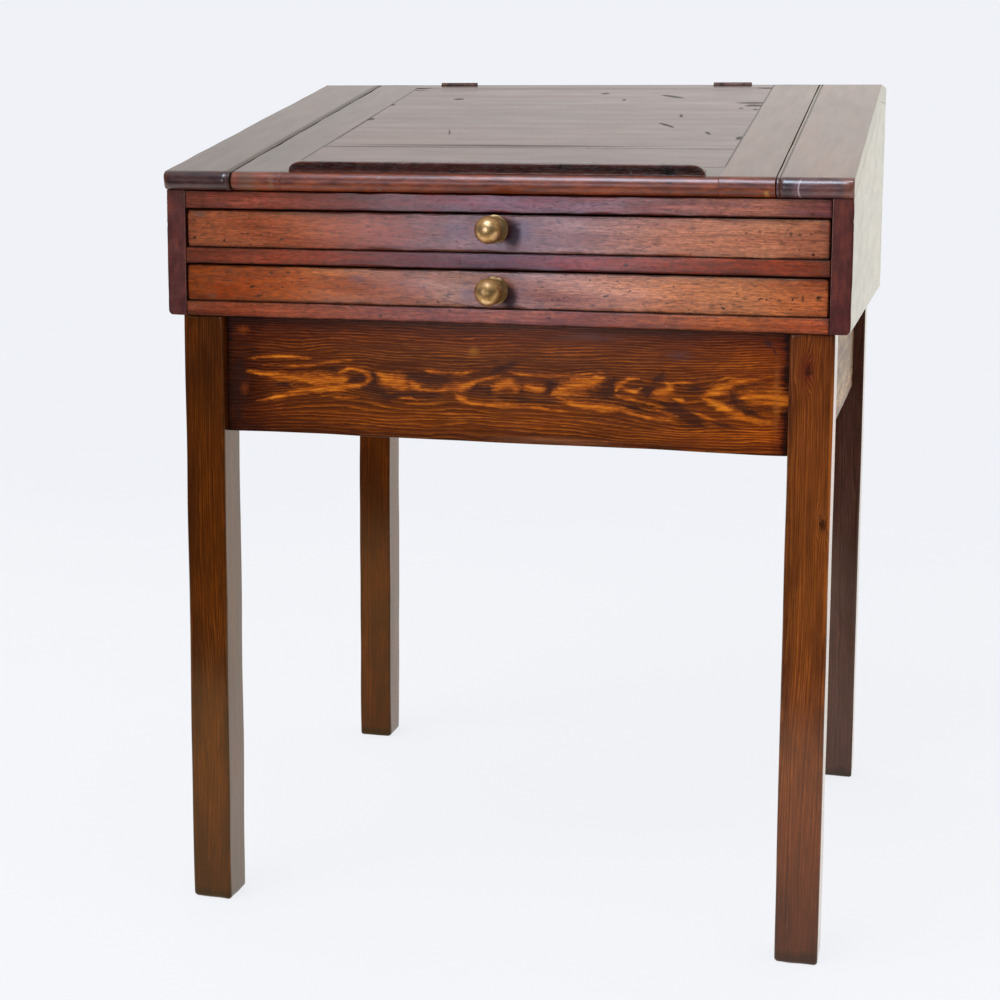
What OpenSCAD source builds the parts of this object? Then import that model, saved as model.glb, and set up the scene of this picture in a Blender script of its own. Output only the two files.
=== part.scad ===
// A clerk's writing desk: a case with a hinged sloping lid and two shallow drawers,
// standing on a separate stand of four square legs and four aprons.
// X runs to the right, Y to the back and Z up from the floor, with the middle of the base at the origin.

/* [Stand] */
// Height of the stand, from the floor to the underside of the case
stand_h = 689; // [620:1:760]
// Side of the square legs
leg_w = 47; // [44:1:58]
// Rounding of the long arrises of the legs
leg_round = 2.5; // [1:0.5:4]
// Depth of the aprons below the case
apron_h = 132; // [100:1:160]
// Thickness of the aprons
apron_t = 20; // [16:1:24]
// Rounding of the lower arrises of the aprons
apron_round = 2; // [0.5:0.5:3]
// Distance of the front and rear aprons behind the leg faces
apron_set_back = 11; // [6:0.5:13]
// Distance of the side aprons behind the leg faces
side_apron_set_back = 15; // [6:0.5:18]
// Wood left in a leg beyond the tenon of the front or rear apron
tenon_end_wood = 17; // [12:1:22]
// Wood left in a leg between its two tenons
tenon_gap = 3; // [2:0.5:5]
// Thickness of the apron tenons
apron_tenon_t = 10; // [8:1:12]
// Shoulder of the apron above its tenon
tenon_top_shoulder = 25; // [15:1:35]
// Shoulder of the apron below its tenon
tenon_low_shoulder = 12; // [8:1:20]
// Distance that the case overhangs the stand at each side
side_overhang = 16; // [8:1:24]
// Distance that the case overhangs the stand in front
front_overhang = 6; // [0:1:12]
// Distance that the case overhangs the stand behind
rear_overhang = 5; // [0:1:12]
// Length of the glued blocks inside the aprons
block_l = 60; // [40:1:90]
// Width and height of the glued blocks
block_w = 25; // [18:1:32]

/* [Case] */
// Width over the case sides
case_w = 760; // [700:1:860]
// Depth from the front face of the case to its back
case_d = 665; // [640:1:760]
// Thickness of the case sides
side_t = 22; // [20:0.5:26]
// Rounding of the lower outer arris of each case side
side_round = 5; // [2:0.5:8]
// Depth of the housings that take rails and boards in the sides
housing_d = 6; // [4:0.5:8]
// Distance from the front face at which the rail housings stop
housing_stop = 12; // [8:1:16]
// Thickness of the back boards
back_t = 14; // [10:1:18]
// Depth of the rebate in the sides that takes the back boards
back_rebate_w = 10; // [6:1:12]
// Height of the lower back board
back_lower_h = 126; // [100:1:150]
// Length of the tongue between the back boards
back_tongue_l = 6; // [4:0.5:8]
// Thickness of the tongue between the back boards
back_tongue_t = 5; // [3:0.5:6]

/* [Rails and drawer openings] */
// Height of the bottom rail and of the bottom board behind it
bottom_rail_h = 17; // [14:1:22]
// Height of the lower drawer opening
lower_opening_h = 42; // [38:1:60]
// Height of the middle rail and of the runners behind it
middle_rail_h = 18; // [14:1:22]
// Height of the upper drawer opening
upper_opening_h = 43; // [38:1:60]
// Height of the top rail at the front face
top_rail_h = 20; // [16:1:26]
// Depth of the bottom rail from front to back
bottom_rail_d = 42; // [40:1:70]
// Depth of the middle and top rails from front to back
rail_d = 60; // [45:1:80]
// Width of the runners that carry the upper drawer
runner_w = 40; // [25:1:60]
// Thickness of the floor of the well under the lid
well_floor_t = 10; // [8:1:14]
// Thickness of the drawer stops
stop_t = 3; // [2:0.5:4]
// Width of the drawer stops
stop_w = 40; // [25:1:60]
// Depth of the drawer stops from front to back
stop_d = 18; // [12:1:20]
// Distance of the middle of each drawer stop from the case side
stop_inset = 158; // [100:1:220]

/* [Slope, lid and shelf] */
// Angle of the writing slope
slope_angle = 12; // [8:0.5:16]
// Depth of the level shelf behind the slope
shelf_d = 140; // [110:1:180]
// Thickness of the lid, the fixed top boards and the rear shelf
top_t = 22; // [20:0.5:26]
// Distance that the rounded front edge overhangs the case
nose_overhang = 10; // [4:0.5:12]
// Width of the fixed board on each side of the lid
fixed_board_w = 79; // [60:1:100]
// Gap on each side of the lid
lid_gap = 2; // [1:0.5:3]
// Air under the lid where it rests on the rail and bearers
lid_seat = 0.3; // [0.2:0.1:0.6]
// Gap between the lid and the rear shelf
hinge_gap = 1.2; // [1:0.1:2]
// Width of the lid's side members
stile_w = 58; // [50:1:80]
// Width of the lid's front member with its rounded edge
lid_front_rail_w = 51; // [44:1:70]
// Width of the lid's back member
lid_back_rail_w = 21; // [21:0.5:40]
// Width of the front board of the lid panel
panel_front_board_w = 96; // [70:1:200]
// Hairline joint round and between the panel boards
panel_gap = 0.3; // [0.2:0.1:0.6]
// Distance of the panel below the surface of the lid
panel_drop = 0.4; // [0.2:0.1:1]
// Thickness of the panel
panel_t = 12; // [10:0.5:14]
// Length of the panel tongues and of the stub tenons
panel_tongue_l = 6; // [4:0.5:6.5]
// Thickness of the panel tongues and of the stub tenons
panel_tongue_t = 5; // [4:0.5:6]
// Distance of the quirk from the inner edge of each fixed board
quirk_offset = 3; // [2:0.5:8]
// Width of the quirk
quirk_w = 1; // [0.6:0.2:2]
// Depth of the quirk
quirk_d = 1; // [0.6:0.2:2]
// Width of the bearers under the sides of the lid
bearer_w = 30; // [20:1:40]
// Height of the bearers
bearer_h = 16; // [12:1:18]
// Depth of the bearer ends in the top rail and the hinge rail
bearer_end = 6; // [4:1:8]
// Height of the rail under the front edge of the shelf
hinge_rail_h = 45; // [35:1:60]
// Thickness of the rail under the front edge of the shelf
hinge_rail_t = 22; // [18:1:26]
// Rounding of the rear edge of the shelf
shelf_round = 4; // [1:0.5:8]

/* [Book rest] */
// Distance between the ends of the book rest and the lid's side members
rest_margin = 11; // [11:1:60]
// Height of the book rest above the lid
rest_h = 11; // [8:0.5:16]
// Thickness of the book rest from front to back
rest_t = 9; // [7:0.5:12]
// Length of the rounded end of the book rest
rest_end_l = 16; // [10:0.5:24]
// Rounding of the top arrises of the book rest
rest_round = 3; // [1:0.5:3.5]
// Offset of the middle of the book rest from the middle of the lid
rest_offset = -4; // [-10:1:10]
// Distance of the book rest behind the start of the rounded edge
rest_set_back = 1; // [0:0.5:6]

/* [Hinges] */
// Distance of the middle of each hinge from the edge of the lid
hinge_inset = 112; // [90:1:160]
// Length of the hinges
hinge_l = 50; // [40:1:64]
// Width of one hinge leaf, from the pin down
leaf_w = 18; // [16:0.5:20]
// Thickness of the hinge leaves
leaf_t = 2; // [1.6:0.1:2.4]
// Diameter of the hinge knuckles
knuckle_dia = 6.4; // [5.6:0.2:8]
// Diameter of the hinge pins
pin_dia = 3; // [2.4:0.2:3.6]
// Running clearance round the hinge pins
pin_clearance = 0.05; // [0.03:0.01:0.09]
// Gap between neighbouring knuckles
knuckle_gap = 0.3; // [0.2:0.1:0.5]
// Air round the knuckles in the wood
knuckle_air = 0.5; // [0.3:0.1:1]
// Distance between the screws of one leaf
screw_pitch = 16; // [12:1:18]
// Distance of the screws below the pin
screw_drop = 11; // [9:0.5:13]
// Diameter of the screw heads
screw_head_dia = 6; // [5:0.2:6.4]
// Diameter of the screw shanks
screw_dia = 3; // [2.4:0.2:3.4]
// Length of the screws
screw_l = 11; // [8:0.5:11.5]

/* [Drawers] */
// Distance between the drawers and the back boards
drawer_end_gap = 51; // [20:1:120]
// Gap between a drawer and the case at each side
drawer_side_gap = 1.5; // [1:0.5:2.5]
// Gap above a drawer front
drawer_top_gap = 1.6; // [1:0.2:2.4]
// Air between a drawer and what it runs on
drawer_float = 0.3; // [0.2:0.1:0.5]
// Thickness of the drawer fronts
drawer_front_t = 20; // [18:0.5:22]
// Rounding of the arrises of the drawer fronts
drawer_front_round = 1.5; // [0.5:0.5:2.5]
// Thickness of the drawer sides
drawer_side_t = 9; // [7:0.5:12]
// Distance of the top of the drawer sides below the top of the front
drawer_side_drop = 1; // [0:0.5:3]
// Thickness of the drawer backs
drawer_back_t = 9; // [7:0.5:12]
// Distance of the top of the drawer backs below the top of the sides
drawer_back_drop = 4; // [2:0.5:8]
// Thickness of the drawer bottoms
drawer_bottom_t = 5; // [4:0.5:7]
// Height of the groove for the bottom above the lower edge
drawer_groove_z = 5; // [4:0.5:7]
// Depth of the groove for the bottom
drawer_groove_d = 4; // [3:0.5:5]
// Wood left in front of the lapped dovetails
dovetail_lap = 6; // [4:0.5:8]
// Number of dovetails at each front corner
dovetails = 2; // [1:1:3]
// Share of the pitch that a dovetail takes at its root
dovetail_root = 0.56; // [0.4:0.02:0.6]
// Slope of the dovetail sides, sideways per unit of length
dovetail_slope = 0.16; // [0.1:0.01:0.18]

/* [Knobs] */
// Distance from the drawer front to the tip of the knob
knob_reach = 42; // [34:0.5:48]
// Diameter of the ball of the knob
knob_ball_dia = 28.5; // [24:0.5:32]
// Diameter of the base of the knob
knob_base_dia = 31; // [26:0.5:34]
// Thickness of the rim of the base
knob_rim_t = 1.8; // [1:0.2:3]
// Radius of the cove between the base and the neck
knob_cove = 7; // [5:0.5:8]
// Diameter of the neck of the knob
knob_neck_dia = 12; // [9:0.5:14]
// Diameter of the threaded stem
stem_dia = 5; // [4:0.5:6]
// Clearance round the stem in the drawer front
stem_clearance = 0.1; // [0.05:0.05:0.3]
// Width across the flats of the square nut
nut_w = 11; // [9:0.5:13]
// Thickness of the square nut
nut_t = 4; // [3:0.5:6]
// Length of the stem that shows behind the nut
stem_end_l = 2; // [1:0.5:5]
// Height of the upper knob above the middle rail
upper_knob_z = 26; // [19:0.5:28]
// Height of the lower knob above the bottom rail
lower_knob_z = 20; // [19:0.5:28]

/* [Hidden] */
$fn = 48;

left = -1;
right = 1;
front = -1;
rear = 1;

// Colours of the woods and metals
mahogany = [0.36, 0.17, 0.13];
faded_mahogany = [0.46, 0.24, 0.17];
polished_top = [0.33, 0.20, 0.16];
dark_nosing = [0.16, 0.08, 0.06];
stained_pine = [0.34, 0.16, 0.07];
plain_pine = [0.70, 0.56, 0.38];
brass = [0.72, 0.56, 0.28];
dull_brass = [0.42, 0.33, 0.18];

// The case stands so that the knobs and the back lie equally far from the origin
front_y = (knob_reach - case_d) / 2;
rear_y = front_y + case_d;
half_w = case_w / 2;
inner_half = half_w - side_t;
stop_x = inner_half - stop_inset;
cut_over = 1;

// Heights above the underside of the case
lower_opening_z = bottom_rail_h;
middle_rail_z = lower_opening_z + lower_opening_h;
upper_opening_z = middle_rail_z + middle_rail_h;
top_rail_z = upper_opening_z + upper_opening_h;
front_h = top_rail_z + top_rail_h;

// The slope: its underside starts at the top of the front face and ends at the level shelf
slope_run = case_d - shelf_d;
function slope_z(run) = front_h + run * tan(slope_angle);
seam_z = slope_z(slope_run) + top_t / cos(slope_angle);
shelf_under = seam_z - top_t;
knee_run = (shelf_under - front_h) / tan(slope_angle);
shelf_front = slope_run + hinge_gap / 2;
lid_back = slope_run - hinge_gap / 2;
nose_u = (top_t / 2 * (1 + sin(slope_angle)) - nose_overhang) / cos(slope_angle);
fixed_edge = half_w - fixed_board_w;
lid_half = fixed_edge - lid_gap;
panel_half = lid_half - stile_w;
panel_u0 = nose_u - top_t / 2 + lid_front_rail_w;
panel_u1 = (lid_back + top_t * sin(slope_angle)) / cos(slope_angle) - lid_back_rail_w;
panel_joint_u = panel_u0 + panel_front_board_w;
panel_w0 = top_t - panel_drop - panel_t;
groove_stop_u = panel_u0 - lid_front_rail_w / 2;
slope_reach = case_d;
rest_l = 2 * (panel_half - rest_margin);

// The stand
stand_half = half_w - side_overhang;
stand_front = front_y + front_overhang;
stand_rear = rear_y - rear_overhang;
apron_z = stand_h - apron_h;
tenon_z = apron_z + tenon_low_shoulder;
tenon_h = apron_h - tenon_low_shoulder - tenon_top_shoulder;
cross_tenon_l = leg_w - tenon_end_wood;
side_tenon_l = leg_w - apron_set_back - (apron_t + apron_tenon_t) / 2 - tenon_gap;

// The hinges
knuckle_r = knuckle_dia / 2;
pin_r = pin_dia / 2;
knuckles = 5;
hinge_x = lid_half - hinge_inset;
knuckle_l = (hinge_l - (knuckles - 1) * knuckle_gap) / knuckles;

// The drawers
drawer_l = case_d - back_t - drawer_end_gap;
drawer_half = inner_half - drawer_side_gap;
drawer_inner_half = drawer_half - drawer_side_t;
tail_l = drawer_front_t - dovetail_lap;
groove_air = 0.2;

function front_face_h(opening_h) = opening_h - drawer_top_gap - drawer_float;
function drawer_side_h(opening_h) = front_face_h(opening_h) - drawer_side_drop;
function drawer_back_z() = drawer_groove_z + drawer_bottom_t;
function drawer_back_h(opening_h) = drawer_side_h(opening_h) - drawer_back_drop - drawer_back_z();

// A flat outline with its first coordinate along Y and its second along Z, drawn out along X
module along_x(from_x, to_x) {
    translate([from_x, 0, 0]) rotate([90, 0, 90]) linear_extrude(to_x - from_x) children();
}

// A box between two opposite corners
module block(low, high) {
    translate(low) cube(high - low);
}

// A rectangle from the origin with all four corners rounded
module rounded_rect(w, h, r) {
    translate([r, 0]) square([w - 2 * r, h]);
    translate([0, r]) square([w, h - 2 * r]);
    for (x = [r, w - r], y = [r, h - r]) translate([x, y]) circle(r);
}

// Coordinates of the case: the front face at Y 0 and the underside at Z 0
module in_case() {
    translate([0, front_y, stand_h]) children();
}

// Coordinates of the slope: Y along it from the front face, Z square to it from its underside
module in_slope() {
    translate([0, 0, front_h]) rotate([slope_angle, 0, 0]) children();
}

// Section of a sloping top board with its half-round front edge, cut plumb at the back
module top_section(end_run, under) {
    board_t = top_t - under;
    intersection() {
        translate([0, front_h]) rotate(slope_angle) {
            translate([nose_u, under + board_t / 2]) circle(d = board_t);
            translate([nose_u, under]) square([slope_reach, board_t]);
        }
        translate([-top_t, 0]) square([end_run + top_t, 2 * seam_z]);
    }
}

// Stand

module leg_blank(side, end) {
    x = side == left ? -stand_half : stand_half - leg_w;
    y = end == front ? stand_front : stand_rear - leg_w;
    translate([x, y, 0]) linear_extrude(stand_h) rounded_rect(leg_w, leg_w, leg_round);
}

// Tenons of the front or rear apron
module cross_apron_tenons(end) {
    face = end == front ? stand_front + apron_set_back : stand_rear - apron_set_back - apron_t;
    shoulder = stand_half - leg_w;
    y = face + (apron_t - apron_tenon_t) / 2;
    for (side = [left, right])
        translate([side == left ? -shoulder - cross_tenon_l : shoulder, y, tenon_z])
            cube([cross_tenon_l, apron_tenon_t, tenon_h]);
}

// Tenons of a side apron
module side_apron_tenons(side) {
    x = side * (stand_half - side_apron_set_back - apron_t / 2) - apron_tenon_t / 2;
    for (y = [stand_front + leg_w - side_tenon_l, stand_rear - leg_w])
        translate([x, y, tenon_z]) cube([apron_tenon_t, side_tenon_l, tenon_h]);
}

module leg(side, end) {
    color(stained_pine) difference() {
        leg_blank(side, end);
        cross_apron_tenons(end);
        side_apron_tenons(side);
    }
}

// Section of an apron with its lower arrises rounded
module apron_section() {
    translate([0, apron_round]) square([apron_t, apron_h - apron_round]);
    translate([apron_round, 0]) square([apron_t - 2 * apron_round, apron_h]);
    for (x = [apron_round, apron_t - apron_round]) translate([x, apron_round]) circle(apron_round);
}

module cross_apron(end) {
    face = end == front ? stand_front + apron_set_back : stand_rear - apron_set_back - apron_t;
    shoulder = stand_half - leg_w;
    color(stained_pine) union() {
        translate([0, face, apron_z]) along_x(-shoulder, shoulder) apron_section();
        cross_apron_tenons(end);
    }
}

module side_apron(side) {
    x = side == left ? -stand_half + side_apron_set_back : stand_half - side_apron_set_back - apron_t;
    color(stained_pine) union() {
        translate([x, stand_rear - leg_w, apron_z]) rotate([90, 0, 0])
            linear_extrude(stand_rear - stand_front - 2 * leg_w) apron_section();
        side_apron_tenons(side);
    }
}

// Blocks glued in the angle between the aprons and the underside of the case
module corner_blocks() {
    z = stand_h - block_w;
    front_inside = stand_front + apron_set_back + apron_t;
    rear_inside = stand_rear - apron_set_back - apron_t;
    side_inside = stand_half - side_apron_set_back - apron_t;
    block_x = stand_half / 2;
    block_y = (rear_inside - front_inside) / 4;
    middle_y = (front_inside + rear_inside) / 2;
    color(plain_pine) {
        for (side = [left, right]) {
            translate([side * block_x - block_l / 2, front_inside, z]) cube([block_l, block_w, block_w]);
            translate([side * block_x - block_l / 2, rear_inside - block_w, z]) cube([block_l, block_w, block_w]);
            for (end = [front, rear])
                translate([side == left ? -side_inside : side_inside - block_w,
                           middle_y + end * block_y - block_l / 2, z])
                    cube([block_w, block_l, block_w]);
        }
    }
}

// Case

// A cross rail with its ends housed in the sides behind the front face
module rail_blank(z, h, d) {
    block([-inner_half, 0, z], [inner_half, d, z + h]);
    block([-inner_half - housing_d, housing_stop, z], [inner_half + housing_d, d, z + h]);
}

module bottom_board_blank() {
    block([-inner_half - housing_d, bottom_rail_d, 0], [inner_half + housing_d, case_d - back_t, bottom_rail_h]);
}

module top_rail_section(start) {
    polygon([[start, top_rail_z], [rail_d, top_rail_z], [rail_d, slope_z(rail_d)], [start, slope_z(start)]]);
}

module top_rail_blank() {
    along_x(-inner_half, inner_half) top_rail_section(0);
    along_x(-inner_half - housing_d, inner_half + housing_d) top_rail_section(housing_stop);
}

module well_floor_blank() {
    block([-inner_half - housing_d, rail_d, top_rail_z],
          [inner_half + housing_d, case_d - back_t, top_rail_z + well_floor_t]);
}

module hinge_rail_blank() {
    block([-inner_half - housing_d, shelf_front, shelf_under - hinge_rail_h],
          [inner_half + housing_d, shelf_front + hinge_rail_t, shelf_under]);
}

module back_rebate() {
    block([-inner_half - back_rebate_w, case_d - back_t, 0], [inner_half + back_rebate_w, case_d, shelf_under]);
}

// Outline of a case side seen from the side
module side_outline() {
    polygon([[0, 0], [0, front_h], [knee_run, shelf_under], [case_d, shelf_under], [case_d, 0]]);
}

// A case side with its lower outer arris rounded
module side_blank(side) {
    difference() {
        along_x(side == left ? -half_w : inner_half, side == left ? -inner_half : half_w) side_outline();
        translate([side * (half_w - side_round), 0, side_round]) difference() {
            block([side == left ? -2 * side_round : 0, -cut_over, -2 * side_round],
                  [side == left ? 0 : 2 * side_round, case_d + cut_over, 0]);
            translate([0, -2 * cut_over, 0]) rotate([-90, 0, 0])
                cylinder(r = side_round, h = case_d + 4 * cut_over);
        }
    }
}

module case_side(side) {
    color(mahogany) in_case() difference() {
        side_blank(side);
        rail_blank(0, bottom_rail_h, bottom_rail_d);
        bottom_board_blank();
        rail_blank(middle_rail_z, middle_rail_h, rail_d);
        top_rail_blank();
        well_floor_blank();
        hinge_rail_blank();
        back_rebate();
    }
}

module back_tongue() {
    block([-inner_half - back_rebate_w, case_d - (back_t + back_tongue_t) / 2, back_lower_h],
          [inner_half + back_rebate_w, case_d - (back_t - back_tongue_t) / 2, back_lower_h + back_tongue_l]);
}

module back_board_lower() {
    color(plain_pine) in_case() union() {
        block([-inner_half - back_rebate_w, case_d - back_t, 0], [inner_half + back_rebate_w, case_d, back_lower_h]);
        back_tongue();
    }
}

module back_board_upper() {
    color(plain_pine) in_case() difference() {
        block([-inner_half - back_rebate_w, case_d - back_t, back_lower_h],
              [inner_half + back_rebate_w, case_d, shelf_under]);
        back_tongue();
    }
}

module bottom_rail() {
    color(mahogany) in_case() rail_blank(0, bottom_rail_h, bottom_rail_d);
}

module bottom_board() {
    color(plain_pine) in_case() bottom_board_blank();
}

module middle_rail() {
    color(mahogany) in_case() rail_blank(middle_rail_z, middle_rail_h, rail_d);
}

module top_rail() {
    color(mahogany) in_case() difference() {
        top_rail_blank();
        for (side = [left, right]) bearer_blank(side);
    }
}

// Runner of the upper drawer, fixed to the case side behind the middle rail
module runner(side) {
    color(plain_pine) in_case()
        block([side == left ? -inner_half : inner_half - runner_w, rail_d, middle_rail_z],
              [side == left ? -inner_half + runner_w : inner_half, case_d - back_t, upper_opening_z]);
}

// Blocks on the rails that stop the drawers flush with the front face
module drawer_stops() {
    y = drawer_front_t + drawer_float;
    color(plain_pine) in_case()
        for (z = [lower_opening_z, upper_opening_z], side = [left, right])
            translate([side * stop_x - stop_w / 2, y, z]) cube([stop_w, stop_d, stop_t]);
}

module well_floor() {
    color(plain_pine) in_case() well_floor_blank();
}

// Rail under the front edge of the shelf, which takes the pull of the hinges
module hinge_rail() {
    color(plain_pine) in_case() difference() {
        hinge_rail_blank();
        for (side = [left, right]) bearer_blank(side);
    }
}

// Bearer under the joint between the lid and a fixed board
module bearer_blank(side) {
    start = rail_d - bearer_end;
    end = shelf_front + bearer_end;
    middle = side * (lid_half + fixed_edge) / 2;
    along_x(middle - bearer_w / 2, middle + bearer_w / 2)
        polygon([[start, slope_z(start) - bearer_h], [start, slope_z(start)],
                 [shelf_front, slope_z(shelf_front)], [shelf_front, shelf_under], [end, shelf_under],
                 [end, shelf_under - bearer_h], [shelf_front, shelf_under - bearer_h]]);
}

module bearer(side) {
    color(plain_pine) in_case() bearer_blank(side);
}

// Fixed board beside the lid, with a quirk that makes its inner edge a bead
module top_board(side) {
    inner_quirk = side * (fixed_edge + quirk_offset + quirk_w / 2);
    color(polished_top) in_case() difference() {
        along_x(side == left ? -half_w : fixed_edge, side == left ? -fixed_edge : half_w)
            top_section(shelf_front, 0);
        in_slope() translate([inner_quirk - quirk_w / 2, -top_t, top_t - quirk_d])
            cube([quirk_w, slope_reach, 2 * quirk_d]);
    }
}

module shelf_section() {
    depth = case_d - shelf_front;
    translate([shelf_front, shelf_under]) {
        square([depth - shelf_round, top_t]);
        square([depth, top_t - shelf_round]);
        translate([depth - shelf_round, top_t - shelf_round]) circle(shelf_round);
    }
}

module rear_shelf() {
    color(polished_top) in_case() difference() {
        along_x(-half_w, half_w) shelf_section();
        for (side = [left, right]) at_hinge(side) hinge_room(rear);
    }
}

// Hinges: Y 0 and Z 0 at the pin, with the plates hanging down from it

module at_hinge(side) {
    translate([side * hinge_x, slope_run, seam_z]) children();
}

module leaf_plate(end) {
    y = end == front ? -hinge_gap / 2 - leaf_t : hinge_gap / 2;
    translate([-hinge_l / 2, y, -leaf_w]) cube([hinge_l, leaf_t, leaf_w]);
}

module x_cylinder(r, l) {
    rotate([0, 90, 0]) cylinder(r = r, h = l, center = true);
}

// Room in the wood for a leaf and its screws, open at the seam and at the top, and for the knuckles
module hinge_room(end) {
    depth = leaf_t + hinge_gap / 2;
    translate([-hinge_l / 2, end == front ? -depth : 0, -leaf_w]) cube([hinge_l, depth, leaf_w + knuckle_r]);
    x_cylinder(knuckle_r + knuckle_air, hinge_l + 2 * knuckle_air);
    screws(end);
}

// The case leaf carries the first, third and fifth knuckle, the lid leaf the two between them
module each_knuckle(end) {
    for (i = [(end == rear ? 0 : 1) : 2 : knuckles - 1])
        translate([-hinge_l / 2 + knuckle_l / 2 + i * (knuckle_l + knuckle_gap), 0, 0]) children();
}

// One countersunk screw that points along Z from the face of the leaf
module screw() {
    head_h = (screw_head_dia - screw_dia) / 2;
    cylinder(d1 = screw_head_dia, d2 = screw_dia, h = head_h);
    cylinder(d = screw_dia, h = screw_l);
}

module screws(end) {
    for (i = [-1, 0, 1])
        translate([i * screw_pitch, end * hinge_gap / 2, -screw_drop]) rotate([-end * 90, 0, 0]) screw();
}

module hinge_leaf(side, end) {
    other = end == rear ? front : rear;
    color(dull_brass) in_case() at_hinge(side) difference() {
        union() {
            difference() {
                leaf_plate(end);
                each_knuckle(other) x_cylinder(knuckle_r + knuckle_gap, knuckle_l + 2 * knuckle_gap);
            }
            each_knuckle(end) x_cylinder(knuckle_r, knuckle_l);
        }
        x_cylinder(pin_r + pin_clearance, 2 * hinge_l);
        screws(end);
    }
}

module hinge_pin(side) {
    color(dull_brass) in_case() at_hinge(side) x_cylinder(pin_r, hinge_l);
}

module hinge_screws(end) {
    color(dull_brass) in_case() for (side = [left, right]) at_hinge(side) screws(end);
}

// Lid

// Groove along the inner edge of a side member, which takes the panel and the stub tenons
module stile_groove(side) {
    in_slope() translate([side == left ? -panel_half - panel_tongue_l : panel_half, groove_stop_u, panel_w0])
        cube([panel_tongue_l, slope_reach, panel_tongue_t]);
}

module lid_stile(side) {
    color(polished_top) in_case() difference() {
        along_x(side == left ? -lid_half : panel_half, side == left ? -panel_half : lid_half)
            top_section(lid_back, lid_seat);
        stile_groove(side);
    }
}

// The stretch of slope coordinates between two distances, across the whole desk
module slope_band(from_u, to_u) {
    in_slope() translate([-half_w, from_u, -top_t]) cube([case_w, to_u - from_u, 3 * top_t]);
}

// Stub tenons on the ends of a lid rail, as thick as the panel tongues
module stub_tenons(from_u, to_u) {
    intersection() {
        along_x(-panel_half - panel_tongue_l, panel_half + panel_tongue_l) top_section(lid_back, lid_seat);
        in_slope() translate([-half_w, from_u, panel_w0]) cube([case_w, to_u - from_u, panel_tongue_t]);
    }
}

module rail_groove(from_u) {
    in_slope() translate([-panel_half, from_u, panel_w0]) cube([2 * panel_half, panel_tongue_l, panel_tongue_t]);
}

module lid_front_rail() {
    color(polished_top) in_case() difference() {
        union() {
            intersection() {
                along_x(-panel_half, panel_half) top_section(lid_back, lid_seat);
                slope_band(-top_t, panel_u0);
            }
            stub_tenons(groove_stop_u, panel_u0);
        }
        rail_groove(panel_u0 - panel_tongue_l);
    }
}

module lid_back_rail() {
    color(polished_top) in_case() difference() {
        union() {
            intersection() {
                along_x(-panel_half, panel_half) top_section(lid_back, lid_seat);
                slope_band(panel_u1, slope_reach);
            }
            stub_tenons(panel_u1, slope_reach);
        }
        rail_groove(panel_u1);
        for (side = [left, right]) at_hinge(side) hinge_room(front);
    }
}

// One board of the panel: the field, its end tongues and the tongue along its outer edge
module panel_board(from_u, to_u, tongue_u) {
    field_half = panel_half - panel_gap;
    tongue = panel_tongue_l - groove_air;
    color(polished_top) in_case() in_slope() translate([0, 0, panel_w0]) {
        union() {
            block([-field_half, from_u, 0], [field_half, to_u, panel_t]);
            block([-panel_half - tongue, from_u, 0], [panel_half + tongue, to_u, panel_tongue_t]);
            block([-panel_half + groove_air, min(from_u, tongue_u), 0],
                  [panel_half - groove_air, max(to_u, tongue_u), panel_tongue_t]);
        }
    }
}

module lid_panel_front() {
    panel_board(panel_u0 + panel_gap, panel_joint_u - panel_gap, panel_u0 - panel_tongue_l + groove_air);
}

module lid_panel_rear() {
    panel_board(panel_joint_u, panel_u1 - panel_gap, panel_u1 + panel_tongue_l - groove_air);
}

// Front view of the book rest, with ends that fall in quarter ellipses
module rest_outline() {
    steps = 10;
    straight = rest_l / 2 - rest_end_l;
    polygon(concat(
        [for (i = [0 : steps]) [-straight - rest_end_l * cos(90 * i / steps), rest_h * sin(90 * i / steps)]],
        [for (i = [0 : steps]) [straight + rest_end_l * sin(90 * i / steps), rest_h * cos(90 * i / steps)]]
    ));
}

// Section of the book rest, with its top arrises rounded
module rest_section() {
    square([rest_t, rest_h - rest_round]);
    translate([rest_round, 0]) square([rest_t - 2 * rest_round, rest_h]);
    for (y = [rest_round, rest_t - rest_round]) translate([y, rest_h - rest_round]) circle(rest_round);
}

module book_rest() {
    color(dark_nosing) in_case() in_slope() translate([rest_offset, nose_u + rest_set_back, top_t])
        intersection() {
            translate([0, rest_t, 0]) rotate([90, 0, 0]) linear_extrude(rest_t) rest_outline();
            along_x(-rest_l / 2, rest_l / 2) rest_section();
        }
}

// Drawers: Y 0 at the face of the drawer and Z 0 at the lower edge of its sides

module in_opening(z) {
    in_case() translate([0, 0, z + drawer_float]) children();
}

// A dovetail with its root at the origin and its wide end at the given length
module tail(l, root) {
    tip = root + 2 * l * dovetail_slope;
    polygon([[0, -root / 2], [l, -tip / 2], [l, tip / 2], [0, root / 2]]);
}

// Tails on the front end of a drawer side
module front_tails(opening_h) {
    pitch = drawer_side_h(opening_h) / dovetails;
    for (i = [0 : dovetails - 1])
        translate([drawer_front_t, (i + 0.5) * pitch]) mirror([1, 0]) tail(tail_l, pitch * dovetail_root);
}

// Pins of the drawer front, in which the tails are lapped
module front_pins(opening_h) {
    difference() {
        translate([dovetail_lap, 0]) square([tail_l, drawer_side_h(opening_h)]);
        front_tails(opening_h);
    }
}

// Pins on the end of the drawer back, above and below the tail of the side
module back_pins(opening_h) {
    h = drawer_back_h(opening_h);
    translate([drawer_l - drawer_back_t, drawer_back_z()]) difference() {
        square([drawer_back_t, h]);
        translate([0, h / 2]) tail(drawer_back_t, h * dovetail_root);
    }
}

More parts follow.
